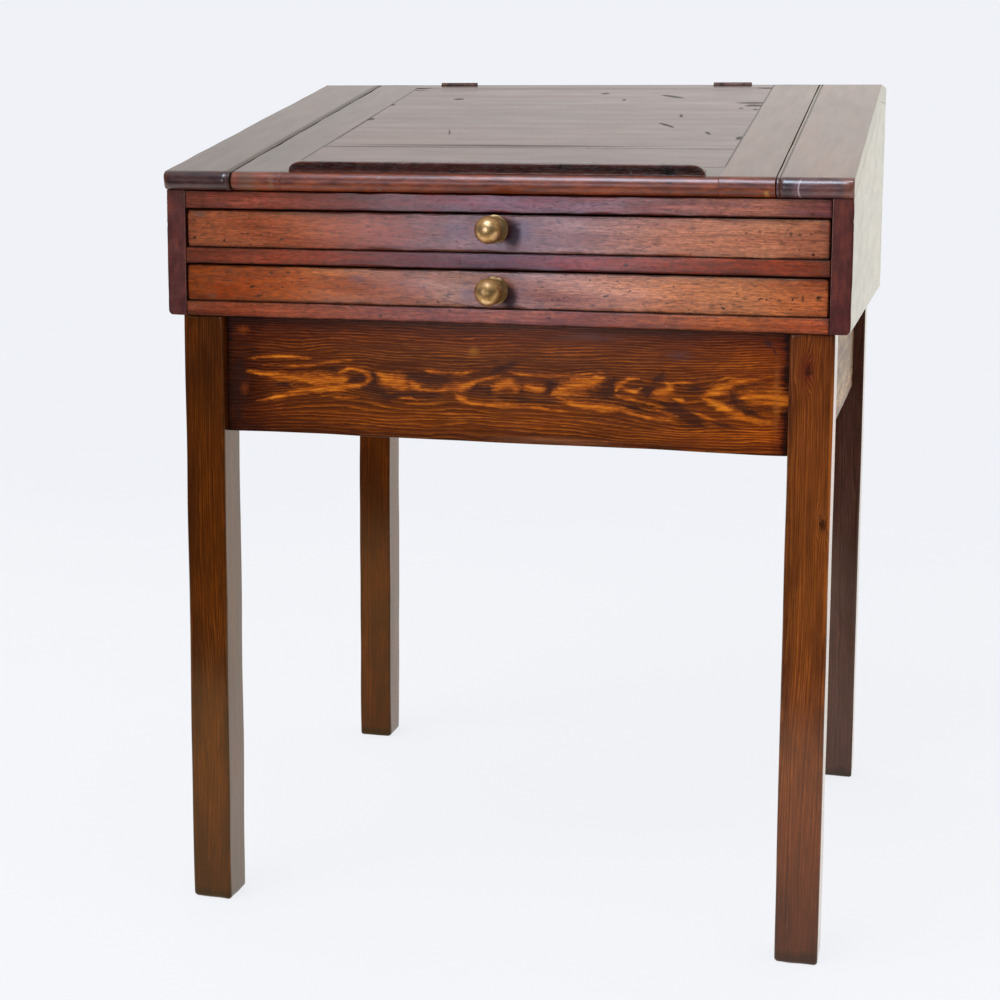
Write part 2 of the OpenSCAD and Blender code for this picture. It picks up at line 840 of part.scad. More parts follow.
// Both ends of the drawer, as thick as its sides
module at_both_ends() {
    along_x(-drawer_half, -drawer_inner_half) children();
    along_x(drawer_inner_half, drawer_half) children();
}

// Room that the drawer bottom takes in the sides, and in the front between the sides
module bottom_grooves() {
    groove_half = drawer_inner_half + drawer_groove_d;
    block([-groove_half, drawer_front_t, drawer_groove_z], [groove_half, drawer_l, drawer_back_z()]);
    block([-drawer_inner_half, drawer_front_t - drawer_groove_d, drawer_groove_z],
          [drawer_inner_half, drawer_front_t, drawer_back_z()]);
}

module drawer_front(z, opening_h, knob_z) {
    h = front_face_h(opening_h);
    color(faded_mahogany) in_opening(z) difference() {
        intersection() {
            along_x(-drawer_half, drawer_half) union() {
                rounded_rect(drawer_front_t, h, drawer_front_round);
                translate([drawer_front_t / 2, 0]) square([drawer_front_t / 2, h]);
            }
            linear_extrude(h) translate([-drawer_half, 0]) union() {
                rounded_rect(2 * drawer_half, drawer_front_t, drawer_front_round);
                translate([0, drawer_front_t / 2]) square([2 * drawer_half, drawer_front_t / 2]);
            }
        }
        at_both_ends() front_tails(opening_h);
        bottom_grooves();
        translate([0, 0, knob_z - drawer_float]) rotate([-90, 0, 0])
            cylinder(d = stem_dia + 2 * stem_clearance, h = 3 * drawer_front_t, center = true);
    }
}

module drawer_side(side, z, opening_h) {
    color(plain_pine) in_opening(z) difference() {
        along_x(side == left ? -drawer_half : drawer_inner_half, side == left ? -drawer_inner_half : drawer_half)
            difference() {
                translate([dovetail_lap, 0]) square([drawer_l - dovetail_lap, drawer_side_h(opening_h)]);
                front_pins(opening_h);
                back_pins(opening_h);
            }
        bottom_grooves();
    }
}

module drawer_back(z, opening_h) {
    color(plain_pine) in_opening(z) union() {
        block([-drawer_inner_half, drawer_l - drawer_back_t, drawer_back_z()],
              [drawer_inner_half, drawer_l, drawer_back_z() + drawer_back_h(opening_h)]);
        at_both_ends() back_pins(opening_h);
    }
}

module drawer_bottom(z) {
    plate_half = drawer_inner_half + drawer_groove_d - groove_air;
    tongue_half = drawer_inner_half - groove_air;
    color(plain_pine) in_opening(z) union() {
        block([-plate_half, drawer_front_t, drawer_groove_z], [plate_half, drawer_l, drawer_back_z()]);
        block([-tongue_half, drawer_front_t - drawer_groove_d + groove_air, drawer_groove_z],
              [tongue_half, drawer_front_t, drawer_back_z()]);
    }
}

// Knobs

// Half section of the turned knob, from its base on the drawer front to the top of the ball
module knob_half_section() {
    ball_r = knob_ball_dia / 2;
    ball_z = knob_reach - ball_r;
    neck_r = knob_neck_dia / 2;
    square([knob_base_dia / 2, knob_rim_t]);
    square([neck_r, ball_z]);
    translate([0, knob_rim_t]) difference() {
        square([neck_r + knob_cove, knob_cove]);
        translate([neck_r + knob_cove, knob_cove]) circle(knob_cove);
    }
    intersection() {
        translate([0, ball_z]) circle(ball_r);
        square([ball_r, knob_reach]);
    }
}

module at_knob(z, knob_z) {
    in_case() translate([0, 0, z + knob_z]) rotate([90, 0, 0]) children();
}

module knob(z, knob_z) {
    stem_l = drawer_front_t + nut_t + stem_end_l;
    color(brass) at_knob(z, knob_z) union() {
        rotate_extrude() knob_half_section();
        translate([0, 0, -stem_l]) cylinder(d = stem_dia, h = stem_l + knob_rim_t);
    }
}

module knob_nut(z, knob_z) {
    color(dull_brass) at_knob(z, knob_z) translate([0, 0, -drawer_front_t - nut_t]) difference() {
        linear_extrude(nut_t) square(nut_w, center = true);
        cylinder(d = stem_dia, h = 4 * nut_t, center = true);
    }
}

leg(left, front);  // leg_front_left
leg(right, front);  // leg_front_right
leg(left, rear);  // leg_rear_left
leg(right, rear);  // leg_rear_right
cross_apron(front);  // apron_front
cross_apron(rear);  // apron_rear
side_apron(left);  // apron_left
side_apron(right);  // apron_right
corner_blocks();
case_side(left);  // side_left
case_side(right);  // side_right
back_board_lower();
back_board_upper();
bottom_rail();
bottom_board();
middle_rail();
top_rail();
runner(left);  // runner_left
runner(right);  // runner_right
drawer_stops();
well_floor();
hinge_rail();
bearer(left);  // bearer_left
bearer(right);  // bearer_right
top_board(left);  // top_board_left
top_board(right);  // top_board_right
rear_shelf();
hinge_leaf(left, rear);  // hinge_leaf_case_left
hinge_leaf(right, rear);  // hinge_leaf_case_right
hinge_leaf(left, front);  // hinge_leaf_lid_left
hinge_leaf(right, front);  // hinge_leaf_lid_right
hinge_pin(left);  // hinge_pin_left
hinge_pin(right);  // hinge_pin_right
hinge_screws(rear);  // hinge_screws_case
hinge_screws(front);  // hinge_screws_lid
lid_stile(left);  // lid_stile_left
lid_stile(right);  // lid_stile_right
lid_front_rail();
lid_back_rail();
lid_panel_front();
lid_panel_rear();
book_rest();
drawer_front(upper_opening_z, upper_opening_h, upper_knob_z);  // upper_drawer_front
drawer_side(left, upper_opening_z, upper_opening_h);  // upper_drawer_left_side
drawer_side(right, upper_opening_z, upper_opening_h);  // upper_drawer_right_side
drawer_back(upper_opening_z, upper_opening_h);  // upper_drawer_back
drawer_bottom(upper_opening_z);  // upper_drawer_bottom
knob(upper_opening_z, upper_knob_z);  // upper_knob
knob_nut(upper_opening_z, upper_knob_z);  // upper_knob_nut
drawer_front(lower_opening_z, lower_opening_h, lower_knob_z);  // lower_drawer_front
drawer_side(left, lower_opening_z, lower_opening_h);  // lower_drawer_left_side
drawer_side(right, lower_opening_z, lower_opening_h);  // lower_drawer_right_side
drawer_back(lower_opening_z, lower_opening_h);  // lower_drawer_back
drawer_bottom(lower_opening_z);  // lower_drawer_bottom
knob(lower_opening_z, lower_knob_z);  // lower_knob
knob_nut(lower_opening_z, lower_knob_z);  // lower_knob_nut
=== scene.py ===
import math

import bpy
import numpy as np
from mathutils import Matrix, Vector


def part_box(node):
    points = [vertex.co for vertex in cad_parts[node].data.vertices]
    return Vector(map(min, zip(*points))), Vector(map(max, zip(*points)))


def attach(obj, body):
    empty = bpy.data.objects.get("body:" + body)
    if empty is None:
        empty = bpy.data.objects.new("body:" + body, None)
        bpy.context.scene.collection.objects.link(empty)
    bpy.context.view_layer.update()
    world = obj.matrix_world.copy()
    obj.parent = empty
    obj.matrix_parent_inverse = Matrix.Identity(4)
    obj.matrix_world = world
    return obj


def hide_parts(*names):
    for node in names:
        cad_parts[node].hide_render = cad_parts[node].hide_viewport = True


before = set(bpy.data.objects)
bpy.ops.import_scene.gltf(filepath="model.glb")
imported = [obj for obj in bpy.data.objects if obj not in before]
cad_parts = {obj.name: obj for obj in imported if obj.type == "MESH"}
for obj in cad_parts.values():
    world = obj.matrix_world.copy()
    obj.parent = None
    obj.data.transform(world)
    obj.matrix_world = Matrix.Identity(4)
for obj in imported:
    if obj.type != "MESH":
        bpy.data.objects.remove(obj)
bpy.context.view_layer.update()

print("model loaded")

mm = 0.001
slopeAngle = math.radians(12)
slopeSin, slopeCos, slopeTan = math.sin(slopeAngle), math.cos(slopeAngle), math.tan(slopeAngle)

# Sizes of the desk in millimetres, as the solids have them
desk = {
    "caseFront": -311.5,
    "caseBack": 353.5,
    "caseUnder": 689.0,
    "slopeFoot": 140.0,      # height of the slope's underside at the front face
    "boardThick": 22.0,
    "noseOut": -7.64,        # foremost point of the rounded front edge, along the slope
    "noseCentre": 3.36,
    "lidEndRun": 524.4,
    "boardEndRun": 525.6,
}


# Surfaces: every shape below is worked out as whole arrays, in millimetres


def axisLines(low, high, step, edge=4.5, extra=()):
    # even steps between two ends, with closer lines inside a band of the given width at both ends
    fine = edge * np.array([0.0, 0.08, 0.18, 0.31, 0.49, 0.71, 1.0])
    count = max(2, int(round((high - low - 2 * edge) / step)) + 1)
    lines = np.concatenate((
        low + fine[:-1], np.linspace(low + edge, high - edge, count), high - fine[-2::-1]))
    if len(extra):
        lines = np.concatenate((lines, np.asarray(extra, float)))
    lines = np.unique(np.round(lines, 4))
    keep = np.concatenate(([True], np.diff(lines) > 0.02))
    return lines[keep]


def boxSkin(xs, ys, zs):
    # the outer points of a lattice of lines, shared along its edges, and the four-sided faces between them
    shape = (len(xs), len(ys), len(zs))
    i, j, k = np.indices(shape)
    skin = (i == 0) | (i == shape[0] - 1) | (j == 0) | (j == shape[1] - 1) | (k == 0) | (k == shape[2] - 1)
    index = np.full(shape, -1)
    index[skin] = np.arange(skin.sum())
    points = np.stack((xs[i[skin]], ys[j[skin]], zs[k[skin]]), axis=1)

    def quads(sheet, turned):
        a, b, c, d = sheet[:-1, :-1], sheet[1:, :-1], sheet[1:, 1:], sheet[:-1, 1:]
        corners = (d, c, b, a) if turned else (a, b, c, d)
        return np.stack(corners, axis=-1).reshape(-1, 4)

    faces = np.concatenate((quads(index[0], True), quads(index[-1], False),
                            quads(index[:, 0], False), quads(index[:, -1], True),
                            quads(index[:, :, 0], True), quads(index[:, :, -1], False)))
    return points, faces


def ripple(points, length, seed, waves=7):
    # smooth, about -1 to 1: a sum of sine waves in seeded directions, with wave lengths near the given one
    draw = np.random.default_rng(seed)
    length = np.broadcast_to(np.asarray(length, float), (3,))
    turns = draw.normal(size=(waves, 3)) * 2.2 / length
    return np.sin(points @ turns.T + draw.uniform(0, 6.283, waves)).sum(axis=1) / math.sqrt(waves) * 0.9


def arrisCloseness(points, low, high, reach=3.0):
    # 1 on an edge of the box, falling off with the second smallest distance to its six planes
    gaps = np.minimum(np.abs(points - low), np.abs(points - high))
    gaps.sort(axis=1)
    return np.exp(-gaps[:, 1] / reach)


def softenBox(points, low, high, radius):
    # each point keeps its distance, the radius, from an inner box that is smaller by the radius
    radius = np.broadcast_to(np.asarray(radius, float), (len(points),))[:, None]
    core = np.clip(points, low + radius, high - radius)
    away = points - core
    length = np.linalg.norm(away, axis=1, keepdims=True)
    return core + away / np.maximum(length, 1e-9) * radius


def latticeBox(low, high, steps, edges, extra=((), (), ())):
    # the skin of a box, with even lines along each axis that lie closer near its ends
    return boxSkin(*(axisLines(low[n], high[n], steps[n], edges[n], extra[n]) for n in range(3)))


def dent(points, marks):
    # shallow round hollows: a point is moved by the given vector times exp(-(distance / width) squared)
    for centre, width, push in marks:
        near = np.exp(-(((points - np.asarray(centre, float)) / np.asarray(width, float)) ** 2).sum(axis=1))
        points = points + near[:, None] * np.asarray(push, float)
    return points


def quarterRound(dx, dz):
    # the share of its distance from the corner's centre that a point keeps, so that a square corner becomes
    # a quarter disc; dx and dz are its distances past the centre, and outside the corner the share is 1
    inCorner = (dx > 0) & (dz > 0)
    return np.where(inCorner, np.maximum(dx, dz) / np.maximum(np.hypot(dx, dz), 1e-9), 1.0)


def addField(mesh, name, values):
    mesh.attributes.new(name, "FLOAT", "POINT").data.foreach_set("value", values.astype(np.float32))


def settle(mesh, body, node, material):
    # the mesh becomes a piece that rides on its body in place of one of the model's solids
    mesh.shade_smooth()
    mesh.materials.append(material)
    piece = bpy.data.objects.new(mesh.name, mesh)
    bpy.context.scene.collection.objects.link(piece)
    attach(piece, body)
    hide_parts(node)


def makePiece(node, shells, body, material, grain, fields=None):
    # shells are (points, faces, closeness to an arris); their points are joined into one mesh in metres
    starts = np.cumsum([0] + [len(points) for points, faces, edge in shells])
    points = np.concatenate([shell[0] for shell in shells])
    faces = np.concatenate([shell[1] + start for shell, start in zip(shells, starts)])
    edge = np.concatenate([shell[2] for shell in shells])
    a, b, c, d = (points[faces[:, n]] for n in range(4))
    volume = (np.einsum("ij,ij->i", a, np.cross(b, c)) + np.einsum("ij,ij->i", a, np.cross(c, d))).sum()
    if volume < 0:
        faces = faces[:, ::-1]
    mesh = bpy.data.meshes.new(node + "_piece")
    mesh.from_pydata((points * mm).tolist(), [], faces.tolist())
    vectors = (grain(points) * mm).astype(np.float32).ravel()
    mesh.attributes.new("grain", "FLOAT_VECTOR", "POINT").data.foreach_set("vector", vectors)
    for key, field in (fields or {}).items():
        addField(mesh, key, field(points))
    addField(mesh, "arris", edge)
    settle(mesh, body, node, material)


# Materials: every one is worked out from the piece's own coordinates


def paint(red, green, blue):
    # a colour as it is seen on the screen, 0 to 255, made linear
    values = [v / 255 for v in (red, green, blue)]
    return tuple(v / 12.92 if v <= 0.04045 else ((v + 0.055) / 1.055) ** 2.4 for v in values) + (1.0,)


def mark(at, size, tone, depth=0.8, crisp=2.0, ragged=0.0, turn=0.0, matt=0.0, cut=0.0, only=None):
    # a stain or scratch: an ellipse round a place, with its half sizes along and across the grain; matt
    # takes its shine away and cut its height; only is an axis, and the two places on it where the mark
    # is gone and where it is whole
    return {"at": at, "size": size, "tone": tone, "depth": depth, "crisp": crisp, "ragged": ragged,
            "turn": turn, "matt": matt, "cut": cut, "only": only}


class Nodes:
    # the node tree of a material or of the world, with short ways to add to it

    def __init__(self, tree):
        self.tree = tree

    def feed(self, socket, value):
        # an input takes a value of its own or another node's output
        if isinstance(value, bpy.types.NodeSocket):
            self.tree.links.new(value, socket)
        else:
            socket.default_value = value

    def add(self, kind, inputs, **settings):
        node = self.tree.nodes.new("ShaderNode" + kind)
        for key, value in settings.items():
            setattr(node, key, value)
        for key, value in inputs.items():
            self.feed(node.inputs[key], value)
        return node

    def calc(self, operation, *values, clamp=False):
        return self.add("Math", dict(enumerate(values)), operation=operation, use_clamp=clamp).outputs[0]

    def plus(self, first, second, clamp=False):
        return self.calc("ADD", first, second, clamp=clamp)

    def minus(self, first, second):
        return self.calc("SUBTRACT", first, second)

    def times(self, first, second, clamp=False):
        return self.calc("MULTIPLY", first, second, clamp=clamp)

    def larger(self, first, second):
        # the larger of two values, or the second while there is no first
        return second if first is None else self.calc("MAXIMUM", first, second)

    def spread(self, value, low, high, outLow=0.0, outHigh=1.0, kind="SMOOTHSTEP"):
        inputs = {"Value": value, "From Min": low, "From Max": high, "To Min": outLow, "To Max": outHigh}
        return self.add("MapRange", inputs, interpolation_type=kind).outputs["Result"]

    def ramp(self, value, stops):
        # stops are places from 0 to 1 with linear colours
        node = self.add("ValToRGB", {"Fac": value})
        elements = node.color_ramp.elements
        for n, (place, shade) in enumerate(stops):
            element = elements[n] if n < 2 else elements.new(place)
            element.position = place
            element.color = shade
        return node.outputs["Color"]

    def tones(self, value, tones, places=(0.0, 0.5, 1.0)):
        return self.ramp(value, [(place, paint(*tone)) for place, tone in zip(places, tones)])

    def blend(self, mode, factor, first, second):
        return self.add("Mix", {0: factor, 6: first, 7: second}, data_type="RGBA", blend_type=mode).outputs[2]

    def overlay(self, factor, first, second):
        return self.add("MixShader", {0: factor, 1: first, 2: second}).outputs[0]

    def glow(self, kind, colour, strength):
        return self.add(kind, {"Color": colour, "Strength": strength}).outputs[0]

    def split(self, vector):
        return self.add("SeparateXYZ", {0: vector}).outputs


class Finish(Nodes):
    # a material in the making: the coordinates that its patterns read, and the colour reached so far

    def __init__(self, name, axis="own"):
        self.material = bpy.data.materials.new(name)
        self.material.use_nodes = True
        super().__init__(self.material.node_tree)
        self.shader = self.tree.nodes["Principled BSDF"]
        self.colour = None
        # the piece's own grain coordinates, or the object's, with the grain's axis brought to the front
        if axis == "own":
            self.source = self.add("Attribute", {}, attribute_name="grain").outputs["Vector"]
        else:
            self.source = self.add("TexCoord", {}).outputs["Object"]
        if axis in ("x", "y"):
            parts = self.split(self.source)
            order = (0, 2, 1) if axis == "x" else (1, 0, 2)
            turned = {n: parts[which] for n, which in enumerate(order)}
            self.source = self.add("CombineXYZ", turned).outputs[0]

    def set(self, inputs):
        for key, value in inputs.items():
            self.feed(self.shader.inputs[key], value)

    def attribute(self, name):
        return self.add("Attribute", {}, attribute_name=name).outputs["Fac"]

    def part(self, axis):
        return self.split(self.source)[axis]

    def stretch(self, scale, offset=(0, 0, 0)):
        inputs = {"Vector": self.source, "Scale": scale, "Location": offset}
        return self.add("Mapping", inputs).outputs["Vector"]

    def cloud(self, scale, detail=3.0, rough=0.55, twist=0.0, offset=(0, 0, 0)):
        # noise round 0.5 with one scale, or with one for each axis, which stretches it along the grain
        vector = self.source
        if isinstance(scale, tuple):
            vector, scale = self.stretch(scale, offset), 1.0
        inputs = {"Vector": vector, "Scale": scale, "Detail": detail, "Roughness": rough, "Distortion": twist}
        return self.add("TexNoise", inputs).outputs["Fac"]

    def mix(self, tone, factor, share=None):
        # brings a tone, or another colour, into the colour so far
        if share is not None:
            factor = self.times(factor, share)
        second = tone if isinstance(tone, bpy.types.NodeSocket) else paint(*tone)
        self.colour = self.blend("MIX", factor, self.colour, second)

    def shade(self, factor):
        self.colour = self.add("VectorMath", {0: self.colour, "Scale": factor}, operation="SCALE").outputs[0]

    def zoneRamp(self, zones, axis, wander=None):
        # a ramp along one axis of the coordinates, whose stops are places in millimetres
        low, high = zones[0][0], zones[-1][0]
        place = self.spread(self.part(axis), low * mm, high * mm, kind="LINEAR")
        if wander is not None:
            place = self.plus(place, wander)
        return self.ramp(place, [((x - low) / (high - low), shade) for x, shade in zones])

    def zones(self, zones, axis, wander):
        # darker and lighter stretches: the colour times twice the tone of its zone
        tones = self.zoneRamp([(x, paint(*tone)) for x, tone in zones], axis, wander)
        self.colour = self.blend("MULTIPLY", 1.0, self.colour, tones)
        self.shade(2.0)

    def spot(self, mark):
        # 1 inside the mark's ellipse, with a soft or a ragged edge
        (x, y), (long, broad) = mark["at"], mark["size"]
        inputs = {"Vector": self.source, "Location": (x * mm, y * mm, 0.0),
                  "Rotation": (0.0, 0.0, math.radians(mark["turn"])), "Scale": (long * mm, broad * mm, 50.0)}
        place = self.add("Mapping", inputs, vector_type="TEXTURE").outputs["Vector"]
        fall = self.add("TexGradient", {"Vector": place}, gradient_type="SPHERICAL").outputs["Fac"]
        if mark["ragged"]:
            fall = self.minus(fall, self.times(self.cloud(260.0), mark["ragged"]))
        factor = self.times(fall, mark["crisp"], clamp=True)
        if mark["only"]:
            axis, nothing, full = mark["only"]
            factor = self.times(factor, self.spread(self.part(axis), nothing * mm, full * mm))
        return factor

    def bump(self, height, strength, distance=0.0003):
        bump = self.add("Bump", {"Strength": strength, "Distance": distance, "Height": height})
        self.set({"Normal": bump.outputs["Normal"]})


mahoganyLook = {
    "broad": 0.5,            # share of the broad clouds in the tone; the streaks have the rest
    "fibre": 0.16, "mottle": 0.16, "wave": 0.8, "bump": 0.35,
    "bloom": 0.0, "bloomTone": (104, 74, 96),
    "zones": (), "zoneAxis": 0, "zoneWander": 0.16, "glossZones": (),
    "body": None,            # place of a front face, behind which the wood has one plain tone
    "pores": 0.5, "poreTone": (40, 18, 14), "poreScale": (170.0, 1500.0, 1500.0), "poreFrom": 0.56,
    "poreCut": 0.5, "poreRough": 0.08,
    "specks": 0.0, "speckTone": (62, 26, 22),
    "nose": None,
    "edge": 0.5, "edgeTone": (46, 22, 18), "rim": 0.0, "rimTone": (20, 10, 9),
    "patch": 0.25, "patchTone": (50, 24, 20),
    "marks": (), "marksAbove": None, "marksDull": 0.0,
    "specular": 0.5, "ior": 1.5,
}


def mahogany(name, look, axis="own"):
    # fine-pored wood: clouds and streaks along the grain choose the tone, short dark dashes are pores
    look = dict(mahoganyLook, **look)
    wood = Finish(name, axis)
    broad = wood.cloud((3.0, 16.0, 16.0), 3.0, 0.6, 0.4)
    streak = wood.cloud((9.0, 210.0, 210.0), 4.0, 0.62, 0.08)
    fibre = wood.cloud((30.0, 1300.0, 1300.0), 2.0)
    mottle = wood.cloud((105.0, 460.0, 460.0), 6.0, 0.8)
    tone = wood.plus(wood.times(broad, look["broad"]), wood.times(streak, 1 - look["broad"]))
    tone = wood.spread(tone, 0.36, 0.64)
    wood.colour = wood.tones(tone, look["tones"])
    wood.shade(wood.spread(fibre, 0.3, 0.7, 1 - look["fibre"], 1 + look["fibre"]))
    wood.shade(wood.spread(mottle, 0.32, 0.68, 1 - look["mottle"], 1 + look["mottle"]))
    if look["bloom"]:
        bloom = wood.cloud((16.0, 240.0, 240.0), 5.0, 0.7, offset=(3.0, 1.0, 2.0))
        wood.mix(look["bloomTone"], wood.spread(bloom, 0.48, 0.68), look["bloom"])
    if look["zones"]:
        wood.zones(look["zones"], look["zoneAxis"], wood.times(wood.minus(broad, 0.5), look["zoneWander"]))
    if look["body"] is not None:
        # behind the front face the wood has one plain tone
        bodyTone = wood.tones(tone, ((82, 42, 28), (102, 58, 38), (122, 74, 50)))
        wood.mix(bodyTone, wood.spread(wood.part(2), (look["body"] + 1.5) * mm, (look["body"] + 4.5) * mm))
    pores = wood.spread(wood.cloud(look["poreScale"], 1.0), look["poreFrom"], look["poreFrom"] + 0.1)
    wood.mix(look["poreTone"], pores, look["pores"])
    if look["specks"]:
        # knocks and worm holes: the rare peaks of two clouds, one of round spots and one of short dashes
        spots = wood.spread(wood.cloud((120.0, 190.0, 190.0), 2.0, offset=(5.0, 2.0, 1.0)), 0.655, 0.73)
        dashes = wood.spread(wood.cloud((70.0, 430.0, 430.0), 3.0, offset=(1.0, 4.0, 3.0)), 0.55, 0.68)
        speck = wood.times(wood.larger(spots, wood.times(dashes, 0.55)), look["specks"], clamp=True)
        wood.mix(look["speckTone"], speck)
    nose = look["nose"]
    if nose:
        # the rounded front edge of the slope has its own colour, with streaks along the edge
        onNose = wood.spread(wood.part(nose["axis"]), nose["from"] * mm, nose["to"] * mm, 1.0, 0.0)
        run = wood.cloud((120.0, 36.0, 130.0) if nose["axis"] == 0 else (36.0, 120.0, 130.0), 6.0, 0.7)
        wood.mix(wood.tones(wood.spread(run, 0.22, 0.78), nose["tones"]), onNose)
    blotchCloud = wood.cloud(38.0, 4.0, 0.65)
    arris = wood.attribute("arris")
    # the arris takes the edge tone in blotches: dirty wear, and on the book rest a painted highlight
    wood.mix(look["edgeTone"], wood.times(arris, wood.spread(blotchCloud, 0.3, 0.56), clamp=True), look["edge"])
    matt = None
    # the rim makes the arris's outer band nearly black and matt: painted shade of the gaps beside it, with
    # dirt in the joints
    if look["rim"]:
        matt = wood.times(wood.spread(arris, 0.58, 0.94), look["rim"])
        wood.mix(look["rimTone"], matt)
    wood.mix(look["patchTone"], wood.spread(blotchCloud, 0.55, 0.75), look["patch"])
    relief = wood.minus(wood.times(fibre, 0.35), wood.times(pores, look["poreCut"]))
    dull = None
    for one in look["marks"]:
        factor = wood.spot(one)
        if look["marksAbove"] is not None:
            top = look["marksAbove"]
            factor = wood.times(factor, wood.spread(wood.part(2), (top - 2) * mm, top * mm))
        wood.mix(one["tone"], factor, one["depth"])
        if look["marksDull"]:
            dull = wood.larger(dull, factor)
        if one["cut"]:
            relief = wood.minus(relief, wood.times(factor, one["cut"]))
        if one["matt"]:
            matt = wood.larger(matt, wood.times(factor, one["matt"]))
    rough = wood.spread(wood.cloud((14.0, 60.0, 60.0)), 0.3, 0.7, *look["rough"])
    rough = wood.plus(rough, wood.times(pores, look["poreRough"]))
    if look["marksDull"]:
        rough = wood.plus(rough, wood.times(dull, look["marksDull"]), clamp=True)
    wave = wood.times(streak, look["wave"])
    strength = look["bump"]
    if nose:
        # years of knocks leave the rounded edge uneven
        rough = wood.plus(rough, wood.times(onNose, nose["rougher"]))
        knocks = wood.cloud((150.0, 40.0, 150.0) if nose["axis"] == 0 else (40.0, 150.0, 150.0), 4.0, 0.6)
        wave = wood.plus(wave, wood.times(wood.times(knocks, onNose), 2.6))
        strength = wood.plus(strength, wood.times(onNose, nose["knocks"]))
    wood.bump(wood.plus(relief, wave), strength)
    specular = look["specular"]
    if matt is not None:
        specular = wood.times(wood.minus(1.0, matt), specular)
    wood.set({
        "Base Color": wood.colour, "Roughness": rough, "Specular IOR Level": specular, "IOR": look["ior"]})
    if nose and "gloss" in nose:
        wood.set({"Specular Tint": wood.blend("MIX", onNose, (1.0, 1.0, 1.0, 1.0), nose["gloss"] + (1.0,))})
    if look["glossZones"]:
        wood.set({"Specular Tint": wood.zoneRamp([(x, tint + (1.0,)) for x, tint in look["glossZones"]], 0)})
    return wood.material


def stainedPine(name, look):
    # each whole number of the ring attribute is a year ring: soft wood stained dark and a hard orange line
    wood = Finish(name)
    wobble = wood.cloud((16.0, 110.0, 110.0), 4.0, 0.6)
    fray = wood.cloud((60.0, 900.0, 900.0), 3.0, 0.6)
    swell = wood.cloud((5.0, 42.0, 42.0), 2.0, offset=(4.0, 1.0, 6.0))
    phase = wood.plus(wood.attribute("ring"), wood.times(wobble, look["wobble"]))
    phase = wood.plus(phase, wood.times(fray, look["fray"]))
    phase = wood.plus(phase, wood.times(swell, look["swell"]))
    saw = wood.calc("FRACT", phase)
    hard, soft, deep = look["tones"]
    share = look["share"]
    wood.colour = wood.tones(saw, (deep, hard, hard, soft, soft, deep),
                             (0.0, look["crisp"], share, share + look["soften"], 0.84, 1.0))
    # in places the lines sink into an even brown
    fade = wood.cloud((13.0, 75.0, 75.0), 4.0, 0.6, offset=(2.0, 7.0, 4.0))
    wood.mix(look["fadeTone"], wood.spread(fade, 0.36, 0.62), look["fade"])
    fibre = wood.cloud((22.0, 700.0, 700.0), 4.0, 0.65)
    wood.shade(wood.spread(fibre, 0.3, 0.7, 0.72, 1.24))
    stain = wood.cloud((5.0, 26.0, 26.0), 4.0, 0.6)
    wood.mix(look["stainTone"], wood.spread(stain, 0.42, 0.66), look["stain"])
    for key, axis, wander in (("zones", 1, 0.12), ("alongZones", 0, 0.03)):
        if key in look:
            wood.zones(look[key], axis, wood.times(wood.minus(wobble, 0.5), wander))
    if "flameTones" in look:
        # blaze and darkPatch attributes: 1 on the middle line of a patch, 0 at its edge, which a cloud frays
        fray = wood.times(wood.minus(wood.cloud((80.0, 260.0, 260.0), 6.0, 0.75), 0.5), 2.9)
        patch = wood.plus(wood.attribute("darkPatch"), fray)
        wood.mix(look["shadeTone"], wood.spread(patch, -0.3, 0.9), 0.72)
        flame = wood.minus(wood.attribute("blaze"), fray)
        lick = wood.spread(wood.cloud((26.0, 190.0, 190.0), 5.0, 0.65), 0.34, 0.66)
        heat = wood.plus(wood.times(lick, 0.62), wood.times(wood.spread(flame, 0.0, 1.1), 0.38))
        weak, full = (0.42, 0.42, 0.42, 1.0), (1.0, 1.0, 1.0, 1.0)
        lines = wood.ramp(saw, ((0.0, weak), (0.16, full), (0.56, full), (1.0, weak)))
        factor = wood.times(wood.spread(flame, -0.32, 0.7), wood.times(lines, 0.96))
        wood.mix(wood.tones(heat, look["flameTones"]), factor)
    blotchCloud = wood.cloud(45.0, 4.0, 0.65)
    edge = wood.times(wood.attribute("arris"), wood.spread(blotchCloud, 0.34, 0.6), clamp=True)
    wood.mix(look["edgeTone"], edge, look["edge"])
    for one in look.get("marks", ()):
        wood.mix(one["tone"], wood.spot(one), one["depth"])
    wood.bump(wood.plus(wood.times(saw, -0.5), fibre), 0.3)
    wood.set({"Base Color": wood.colour, "Roughness": wood.spread(fibre, 0.3, 0.7, *look["rough"]),
              "Specular IOR Level": look["specular"], "Specular Tint": look["glossTint"]})
    return wood.material


def plainPine(name, look, axis, shift=0.0):
    # unstained wood of the hidden pieces: yellow brown rings cut lengthwise, darkened with age
    wood = Finish(name, axis)
    wood.source = wood.stretch((1.0, 1.0, 1.0), (3 * shift, shift, shift))
    parts = wood.split(wood.source)
    phase = wood.plus(wood.times(parts[1], 150.0), wood.times(parts[2], 96.0))
    phase = wood.plus(phase, wood.times(wood.cloud((1.3, 6.0, 6.0)), 9.0))
    phase = wood.plus(phase, wood.times(wood.cloud((14.0, 120.0, 120.0), 4.0, 0.65), 1.1))
    pale, warm, dark = look["tones"]
    wood.colour = wood.tones(
        wood.calc("FRACT", phase), (pale, pale, warm, dark, pale), (0.0, 0.4, 0.72, 0.88, 1.0))
    fibre = wood.cloud((18.0, 600.0, 600.0), 4.0, 0.65)
    wood.shade(wood.spread(fibre, 0.3, 0.7, 0.84, 1.14))
    age = wood.cloud((4.0, 11.0, 11.0), 5.0, 0.6)
    wood.mix(look["age"], wood.spread(age, 0.42, 0.7), 0.5)
    wood.bump(fibre, 0.25)
    wood.set({"Base Color": wood.colour, "Roughness": wood.spread(fibre, 0.3, 0.7, 0.5, 0.7),
              "Specular IOR Level": 0.25})
    return wood.material


